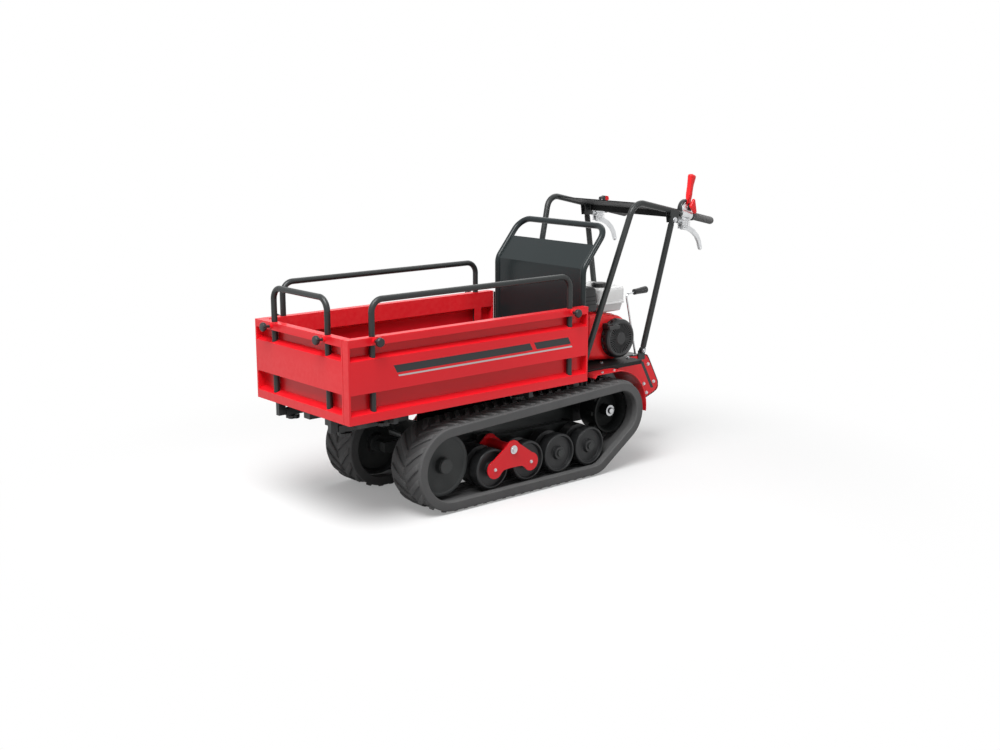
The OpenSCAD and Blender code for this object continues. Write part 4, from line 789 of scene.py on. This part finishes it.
def grip_profile():
    """Outline of a grip: thumb flange, ringed sleeve, then a rounded closed end."""
    flange = np.array([[0.0126, 0.0], [0.0185, 0.0], [0.0198, 0.0015], [0.0198, 0.0045],
                       [0.0185, 0.006], [0.0160, 0.0075]])
    d = np.linspace(0.0095, GRIP_LENGTH - 0.004, 150)
    wave = 0.5 - 0.5 * np.cos(d * 2 * np.pi / RING_PITCH)
    rings = np.stack([GRIP_RADIUS - RING_DEEP * wave ** 2, d], 1)
    t = np.linspace(0, np.pi / 2, 10)
    dome = np.stack([GRIP_RADIUS * np.cos(t), GRIP_LENGTH + GRIP_RADIUS * np.sin(t)], 1)
    return np.concatenate([flange, rings, dome])


grip_way = (-math.cos(BAR_SLOPE), 0, -math.sin(BAR_SLOPE))
grip_starts = [(GRIP_START_X, y, rail_height(GRIP_START_X)) for y in (BAR_Y, -BAR_Y)]
grip_shapes = joined([turned(grip_profile(), start, grip_way) for start in grip_starts])
surface("hand_grips", *grip_shapes, grip_rubber, "chassis", ("grips",), 60.0)

# %% [markdown]
# Pressed covers and tanks are rounded everywhere. Their outline is the tight band round a
# few discs: in each direction, the point of the disc that reaches farthest. Shrinking all
# the discs by the same amount insets the outline evenly, so a cover with a rolled edge is
# a stack of such outlines, each with its own inset and height.

# %% Outlines round discs
LEAST_RADIUS = 0.0005


def disc_band(discs, inset, count):
    """Outline round discs (u, v, radius), each radius less the inset: for every direction,
    the centre of the farthest-reaching disc plus its radius along that direction."""
    discs = np.asarray(discs, float)
    angle = np.linspace(0, 2 * np.pi, count, endpoint=False)
    way = np.stack([np.cos(angle), np.sin(angle)], 1)
    farthest = np.argmax(way @ discs[:, :2].T + discs[None, :, 2], axis=1)
    radius = np.maximum(discs[farthest, 2] - inset, LEAST_RADIUS)
    return discs[farthest, :2] + way * radius[:, None]


def corner_discs(low, high, radius):
    """Four discs that round the corners of the rectangle from low to high."""
    us = (low[0] + radius, high[0] - radius)
    vs = (low[1] + radius, high[1] - radius)
    return [(u, v, radius) for u in us for v in vs]


def rolled(radius, inset, height, turn=1, count=7):
    """Quarter-round from (inset, height) going inwards: the inset grows as the height closes."""
    t = np.linspace(0, np.pi / 2, count)
    return np.stack([inset + radius * (1 - np.cos(t)), height + turn * radius * np.sin(t)], 1)


def stacked(discs, profile, axis, count=160):
    """Points and faces of outlines stacked along an axis, one for each (inset, height),
    with both ends closed."""
    rings = []
    for inset, height in profile:
        band = disc_band(discs, inset, count)
        level = np.full(len(band), height)
        columns = {"y": (band[:, 0], level, band[:, 1]), "z": (band[:, 0], band[:, 1], level)}[axis]
        rings.append(np.stack(columns, 1))
    return np.concatenate(rings), closed_rings(len(rings), count)


# %% [markdown]
# The fan housing is a red pressing that wraps the flywheel and leads the air forward to
# the cylinder. It has a wide rolled edge to the left and a narrow flange at the engine.

# %% Fan housing
CRANK = (-0.504, 0.522)
FAN_FACE = 0.150
FAN_ROLL = 0.020
fan_discs = [(*CRANK, 0.094), (-0.370, 0.616, 0.022), (-0.371, 0.463, 0.024), (-0.480, 0.464, 0.030)]
fan_flange = np.array([[-0.003, 0.098], [-0.003, 0.101], [0.0, 0.103]])
fan_profile = np.concatenate([fan_flange, rolled(FAN_ROLL, 0.0, FAN_FACE - FAN_ROLL)])
fan_shape = stacked(fan_discs, fan_profile, "y")
surface("fan_housing", *fan_shape, engine_red, "chassis", ("blower_housing",))

# %% [markdown]
# The recoil starter is a black moulded drum. Air is drawn in through fine slots between
# ribs on its face and through a row of windows round its rim. Both are sunk into one
# turned surface: each point moves inwards by a slot depth that depends on its angle.

# %% Recoil starter
FACE_SLOTS = 36
FACE_DEEP = 0.0065
RIM_SLOTS = 18
RIM_DEEP = 0.005


def smooth(value, low, high):
    """0 below low, 1 above high, with a smooth ramp between."""
    t = np.clip((value - low) / (high - low), 0, 1)
    return t * t * (3 - 2 * t)


def recoil_drum(count=648):
    """Drum turned about the crank: a profile (radius, y) densely spaced, sunk along its
    own normal where both the ring mask and the wave of slots are high."""
    corners = np.array([[0.082, 0.150], [0.082, 0.178], [0.0795, 0.1845], [0.074, 0.1885], [0.070, 0.190],
                        [0.067, 0.1895], [0.064, 0.1865], [0.026, 0.1855], [0.0245, 0.1885], [0.0, 0.1890]])
    reach = distances(corners)
    profile = read_line(np.linspace(0, reach[-1], 110), reach, corners)
    slope = np.gradient(profile, axis=0)
    normal = np.stack([slope[:, 1], -slope[:, 0]], 1)
    normal /= np.linalg.norm(normal, axis=1)[:, None]
    radius, level = profile[:, 0], profile[:, 1]
    face_ring = smooth(radius, 0.028, 0.0295) * (1 - smooth(radius, 0.0615, 0.063)) * (level > 0.182)
    rim_ring = smooth(level, 0.157, 0.1585) * (1 - smooth(level, 0.172, 0.1735)) * (radius > 0.080)
    angle = np.linspace(0, 2 * np.pi, count, endpoint=False)
    face_wave = smooth(np.cos(angle * FACE_SLOTS), -0.05, 0.35)
    rim_wave = smooth(np.cos(angle * RIM_SLOTS), -0.35, -0.15)
    sunk = FACE_DEEP * face_ring * face_wave[:, None] + RIM_DEEP * rim_ring * rim_wave[:, None]
    r = radius[None] - normal[None, :, 0] * sunk
    y = level[None] - normal[None, :, 1] * sunk
    x = CRANK[0] + r * np.cos(angle)[:, None]
    z = CRANK[1] + r * np.sin(angle)[:, None]
    return np.stack([x, y, z], -1), grid_faces(count, len(profile), True, False)


tower_discs = corner_discs((-0.454, 0.566), (-0.430, 0.590), 0.005)
tower_profile = np.concatenate([[[0.0, FAN_FACE]], rolled(0.003, 0.0, 0.181, 1, 4)])
rope_tower = stacked(tower_discs, tower_profile, "y")
recoil_shape = joined([recoil_drum(), rope_tower])
surface("recoil_starter", *recoil_shape, black_plastic, "chassis", ("recoil_cover",), 45.0)

# %% [markdown]
# The fuel tank is two deep pressings joined by a rolled seam. The lower one tapers to the
# engine, the upper one has upright walls and a rolled top. One stack of outlines makes
# both, with the seam as a thin outline that stands out between them.

# %% Fuel tank
tank_discs = corner_discs((-0.568, -0.060), (-0.418, 0.150), 0.026)
tank_profile = np.concatenate([
    rolled(0.010, 0.012, 0.640, -1)[::-1], [[0.0045, 0.6635], [0.0, 0.6645]],
    [[-0.003, 0.6655], [-0.0035, 0.668], [-0.003, 0.6705]],
    [[0.001, 0.6715], [0.0, 0.678]], rolled(0.014, 0.0, 0.721)])
tank_shape = stacked(tank_discs, tank_profile, "z")
surface("fuel_tank_shell", *tank_shape, tank_paint, "chassis", ("fuel_tank",))

# %% [markdown]
# The air cleaner is a moulded box with shallow lines round it and a knob on its lid.

# %% Air cleaner
cleaner_discs = corner_discs((-0.414, 0.024), (-0.308, 0.146), 0.024)


def lined_wall(low, high, lines, depth=0.0014):
    """Wall of (inset, height) that leans in by 5 mm and has square grooves at set heights."""
    height = np.linspace(low, high, 80)
    groove = np.any(np.abs(height[:, None] - np.asarray(lines)[None]) < 0.0012, axis=1)
    return np.stack([0.005 * (height - low) / (high - low) + depth * groove, height], 1)


cleaner_profile = np.concatenate([
    [[0.006, 0.644], [0.006, 0.650], [-0.001, 0.651], [-0.001, 0.656]],
    lined_wall(0.657, 0.722, (0.674, 0.690, 0.706)), rolled(0.020, 0.005, 0.724)])
knob_profile = [(0.0, 0.011), (0.007, 0.011), (0.0095, 0.009), (0.0095, 0.003), (0.006, 0.002),
                (0.006, -0.002)]
lid_knob = turned(knob_profile, (-0.361, 0.085, 0.744), (0, 0, 1), 24)
foot_discs = corner_discs((-0.410, 0.030), (-0.328, 0.092), 0.006)
cleaner_foot = stacked(foot_discs, [[0.0, 0.598], [0.0, 0.652]], "z")
cleaner_shapes = joined([stacked(cleaner_discs, cleaner_profile, "z"), lid_knob, cleaner_foot])
surface("air_cleaner_box", *cleaner_shapes, black_plastic, "chassis", ("air_cleaner",))

# %% [markdown]
# A slotted guard keeps hands off the hot silencer. It is one bent sheet: a grid along the
# bend and across it, whose faces are left out inside the slots, then given a thickness.

# %% Silencer guard
GUARD_STEP = 0.002
GUARD_THICK = 0.0015


def guard_sheet():
    """Sheet bent over the silencer's front and top. Faces inside a slot are dropped: a slot
    repeats along the bend and across it, and is the product of the two."""
    turn = np.linspace(0, np.pi / 2, 9)
    bend = np.stack([-0.3135 + 0.012 * np.cos(turn), 0.691 + 0.012 * np.sin(turn)], 1)
    path = np.concatenate([[[-0.3015, 0.610]], bend, [[-0.409, 0.703]]])
    reach = distances(path)
    x, z = read_line(np.arange(0, reach[-1], GUARD_STEP), reach, path).T
    y = np.linspace(-0.118, 0.006, 63)
    points = np.stack(np.broadcast_arrays(x[:, None], y[None], z[:, None]), -1)
    faces = grid_faces(len(x), len(y), False, False)
    row = faces[:, 0] // len(y)
    column = faces[:, 0] % len(y)
    slot = (row % 9 >= 5) & (column % 15 >= 4) & (row > 8) & (row < len(x) - 6)
    return points, faces[~slot]


guard = surface("silencer_guard", *guard_sheet(), zinc_plate, "chassis")
wall = guard.modifiers.new("sheet thickness", "SOLIDIFY")
wall.thickness = GUARD_THICK
wall.offset = 1.0

# %% [markdown]
# The gear lever is a bright rod with a moulded handle pushed over its end. The handle is
# turned from a profile with a waist and fine rings, just over the rod's own end.

# %% Gear handle
HANDLE_START = (-0.680, 0.090, 0.691)
HANDLE_ALONG = (-0.070, 0.0, 0.004)
HANDLE_LENGTH = 0.0725
HANDLE_RINGS = 14
reach = np.linspace(0, 1, 60)
ring_wave = 0.0003 * np.cos(reach * 2 * np.pi * HANDLE_RINGS)
handle_body = np.stack([0.0124 + 0.0022 * smooth(reach, 0.2, 0.95) + ring_wave, reach * HANDLE_LENGTH], 1)
handle_profile = np.concatenate([[[0.0, -0.001], [0.010, -0.001]], handle_body,
                                 [[0.010, HANDLE_LENGTH + 0.002], [0.0, HANDLE_LENGTH + 0.0025]]])
gear_shape = turned(handle_profile, HANDLE_START, HANDLE_ALONG, 40)
surface("gear_handle", *gear_shape, black_plastic, "gear_lever_body", (), 60.0)

# %% [markdown]
# The drive lever is one red moulding: a flat hub in the fork of the perch, a handle that
# leans back, slim in the middle and wider at its top, and a heel outside the fork. Oval
# sections are carried along a curved line, and the last ones shrink to close the end.

# %% Drive lever
PIVOT_X, PIVOT_Z = -0.822, 1.0626
PIVOT_PLACE = (PIVOT_X, BAR_Y, PIVOT_Z)
HUB_HALF, HUB_RADIUS, HUB_EDGE = 0.006, 0.009, 0.001
PIN_RADIUS, PIN_LENGTH = 0.0045, 0.030


def lofted(path, wide, thick, square=0.6, count=28):
    """Sections along a line of (x, y, z): each is an oval, with its half width along the line's
    normal in X and Z and its half thickness along Y, given by powers of sine and cosine. A power
    under 1 squares the oval."""
    path = np.asarray(path, float)
    way = np.gradient(path[:, [0, 2]], axis=0)
    way /= np.linalg.norm(way, axis=1)[:, None]
    normal = np.stack([-way[:, 1], way[:, 0]], 1)
    angle = np.linspace(0, 2 * np.pi, count, endpoint=False)
    c = np.sign(np.cos(angle)) * np.abs(np.cos(angle)) ** square
    s = np.sign(np.sin(angle)) * np.abs(np.sin(angle)) ** square
    across = np.broadcast_to(wide, len(path))[:, None] * c
    x = path[:, :1] + normal[:, :1] * across
    z = path[:, 2:] + normal[:, 1:] * across
    y = path[:, 1:2] + np.broadcast_to(thick, len(path))[:, None] * s
    return np.stack([x, y, z], -1), closed_rings(len(path), count)


reach = np.linspace(0, 1, 40)
lean_x = PIVOT_X - 0.003 - 0.021 * reach ** 1.6
lean_back = np.stack(np.broadcast_arrays(lean_x, BAR_Y, PIVOT_Z + 0.002 + 0.129 * reach), 1)
top_round = np.sqrt(np.clip(1 - ((reach - 0.93) / 0.0705).clip(0) ** 2, 0.02, 1))
handle_wide = (0.0150 - 0.0028 * np.sin(reach * np.pi) + 0.0045 * smooth(reach, 0.55, 0.95)) * top_round
handle_thick = (0.0058 + 0.0056 * smooth(reach, 0.12, 0.35)) * top_round
lever_handle = lofted(lean_back, handle_wide, handle_thick)
hub_side = [(0.0, HUB_HALF), (HUB_RADIUS - HUB_EDGE, HUB_HALF), (HUB_RADIUS, HUB_HALF - HUB_EDGE)]
hub_profile = [(r, -d) for r, d in hub_side] + hub_side[::-1]
lever_hub = turned(hub_profile, PIVOT_PLACE, (0, 1, 0), 32)
pin_profile = [(0.0, 0.0), (PIN_RADIUS, 0.0), (PIN_RADIUS, PIN_LENGTH), (0.0, PIN_LENGTH)]
heel_pin = turned(pin_profile, PIVOT_PLACE, (0, 1, 0), 24)
heel_discs = [(-0.829, 1.084, 0.008), (-0.819, 1.062, 0.011), (-0.838, 1.038, 0.009)]
heel_profile = np.concatenate([[[0.0015, 0.2752], [0.0, 0.2767]], rolled(0.005, 0.0, 0.2805)])
heel = stacked(heel_discs, heel_profile, "y", 72)
lever_shape = joined([lever_handle, lever_hub, heel_pin, heel])
surface("drive_handle", *lever_shape, red_plastic, "drive_lever_body", ("drive_lever",))

# %% [markdown]
# The cast perches have thin fins beside their lower forks. The left one has a block on top,
# with a black hood in front of the drive lever. The fins are flat rounded bars stacked at
# even heights. The hood is an oval section carried along a quarter of an ellipse.

# %% Perch fins and lever hood
PERCH_X = -0.800
FIN_REAR, FIN_FRONT = -0.823, -0.778
FIN_OFFSET, FIN_HALF, FIN_CORNER = 0.0148, 0.0023, 0.0020
FIN_LEVELS = rail_height(PERCH_X) - np.linspace(0.0225, 0.0605, 6)
FIN_SECTION = np.array([[0.0008, 0.0], [0.0, 0.0008], [0.0, 0.0028], [0.0008, 0.0036]])
BLOCK_REAR, BLOCK_FRONT, BLOCK_HALF = -0.806, -0.774, 0.0125
HOOD_X, HOOD_Z = -0.806, 1.045
HOOD_LONG, HOOD_TALL = 0.034, 0.040
fins = []
for middle in (BAR_Y + FIN_OFFSET, BAR_Y - FIN_OFFSET, FIN_OFFSET - BAR_Y, -BAR_Y - FIN_OFFSET):
    fin_discs = corner_discs((FIN_REAR, middle - FIN_HALF), (FIN_FRONT, middle + FIN_HALF), FIN_CORNER)
    fins += [stacked(fin_discs, FIN_SECTION + (0, level), "z", 24) for level in FIN_LEVELS]
block_discs = corner_discs((BLOCK_REAR, BAR_Y - BLOCK_HALF), (BLOCK_FRONT, BAR_Y + BLOCK_HALF), 0.004)
block_profile = np.concatenate([[[0.0, 1.040]], rolled(0.003, 0.0, 1.066, 1, 4)])
top_block = stacked(block_discs, block_profile, "z", 40)
surface("perch_fins", *joined([*fins, top_block]), die_cast, "chassis")
bow = np.linspace(0, 0.48 * np.pi, 24)
hood_x = HOOD_X + HOOD_LONG * np.cos(bow)
hood_line = np.stack(np.broadcast_arrays(hood_x, BAR_Y, HOOD_Z + HOOD_TALL * np.sin(bow)), 1)
surface("lever_hood", *lofted(hood_line, 0.0062, 0.0115), black_plastic, "chassis")
print("perch fins:", len(fins))

# %% [markdown]
# The struts are tubes pressed flat at their ends, where a bolt holds each to its bracket. A
# flat end is lofted from the tube's round section to a thin oval that is a little wider.

# %% Strut ends
STRUT_TOP_X = -0.727
STRUT_TOP = np.array([STRUT_TOP_X, BAR_Y, rail_height(STRUT_TOP_X) - 0.036])
STRUT_FOOT = np.array([-0.697, 0.130, 0.440])
STRUT_RADIUS = 0.0125
FLAT_HALF = 0.0070
FLAT_WIDER = 0.0025
TIP_LENGTH = 0.013


def strut_end(bolt, other, flat_length, side):
    """A tube's end pressed flat towards its bolt: the half thickness across Y falls smoothly from
    the tube's radius to the flat's, the half width grows, and the tip is round."""
    way = (other - bolt) / np.linalg.norm(other - bolt)
    reach = np.linspace(-TIP_LENGTH, flat_length, 28)
    flat = 1 - smooth(reach, 0.012, flat_length)
    tip = np.sqrt(np.clip(1 - (reach.clip(None, 0) / TIP_LENGTH) ** 2, 0.04, 1))
    path = (bolt + reach[:, None] * way) * (1, side, 1)
    thick = STRUT_RADIUS + (FLAT_HALF - STRUT_RADIUS) * flat
    return lofted(path, (STRUT_RADIUS + FLAT_WIDER * flat) * tip, thick, 1.0, 36)


ends = [strut_end(STRUT_TOP, STRUT_FOOT, 0.040, side) for side in (1, -1)]
ends += [strut_end(STRUT_FOOT, STRUT_TOP, 0.056, side) for side in (1, -1)]
surface("strut_ends", *joined(ends), tube_black, "chassis")

# %% [markdown]
# A black rubber edging is pushed over the rear plates' top and rear edges. A small oval is
# carried along the edge, whose corners are softened by a moving average.

# %% Plate edging
PLATE_MIDDLE = 0.1195
EDGE_CORNERS = np.array([(-0.612, 0.421), (-0.728, 0.4165), (-0.7445, 0.403), (-0.8095, 0.285),
                         (-0.8075, 0.262), (-0.789, 0.2435), (-0.733, 0.2248), (-0.644, 0.2248)])


def edge_line(corners, count=260, window=9):
    """Evenly spaced points along the corners, each replaced by the mean of its neighbours."""
    reach = distances(corners)
    even = read_line(np.linspace(0, reach[-1], count), reach, corners)
    padded = np.pad(even, ((window // 2, window // 2), (0, 0)), "edge")
    return np.mean([padded[k:k + count] for k in range(window)], axis=0)


edge_xz = edge_line(EDGE_CORNERS)
edgings = []
for side in (1, -1):
    line = np.stack(np.broadcast_arrays(edge_xz[:, 0], side * PLATE_MIDDLE, edge_xz[:, 1]), 1)
    edgings.append(lofted(line, 0.0026, 0.0036, 0.7, 12))
surface("plate_edging", *joined(edgings), deck_black_painted_shade, "chassis")
print("edging points:", len(edge_xz))
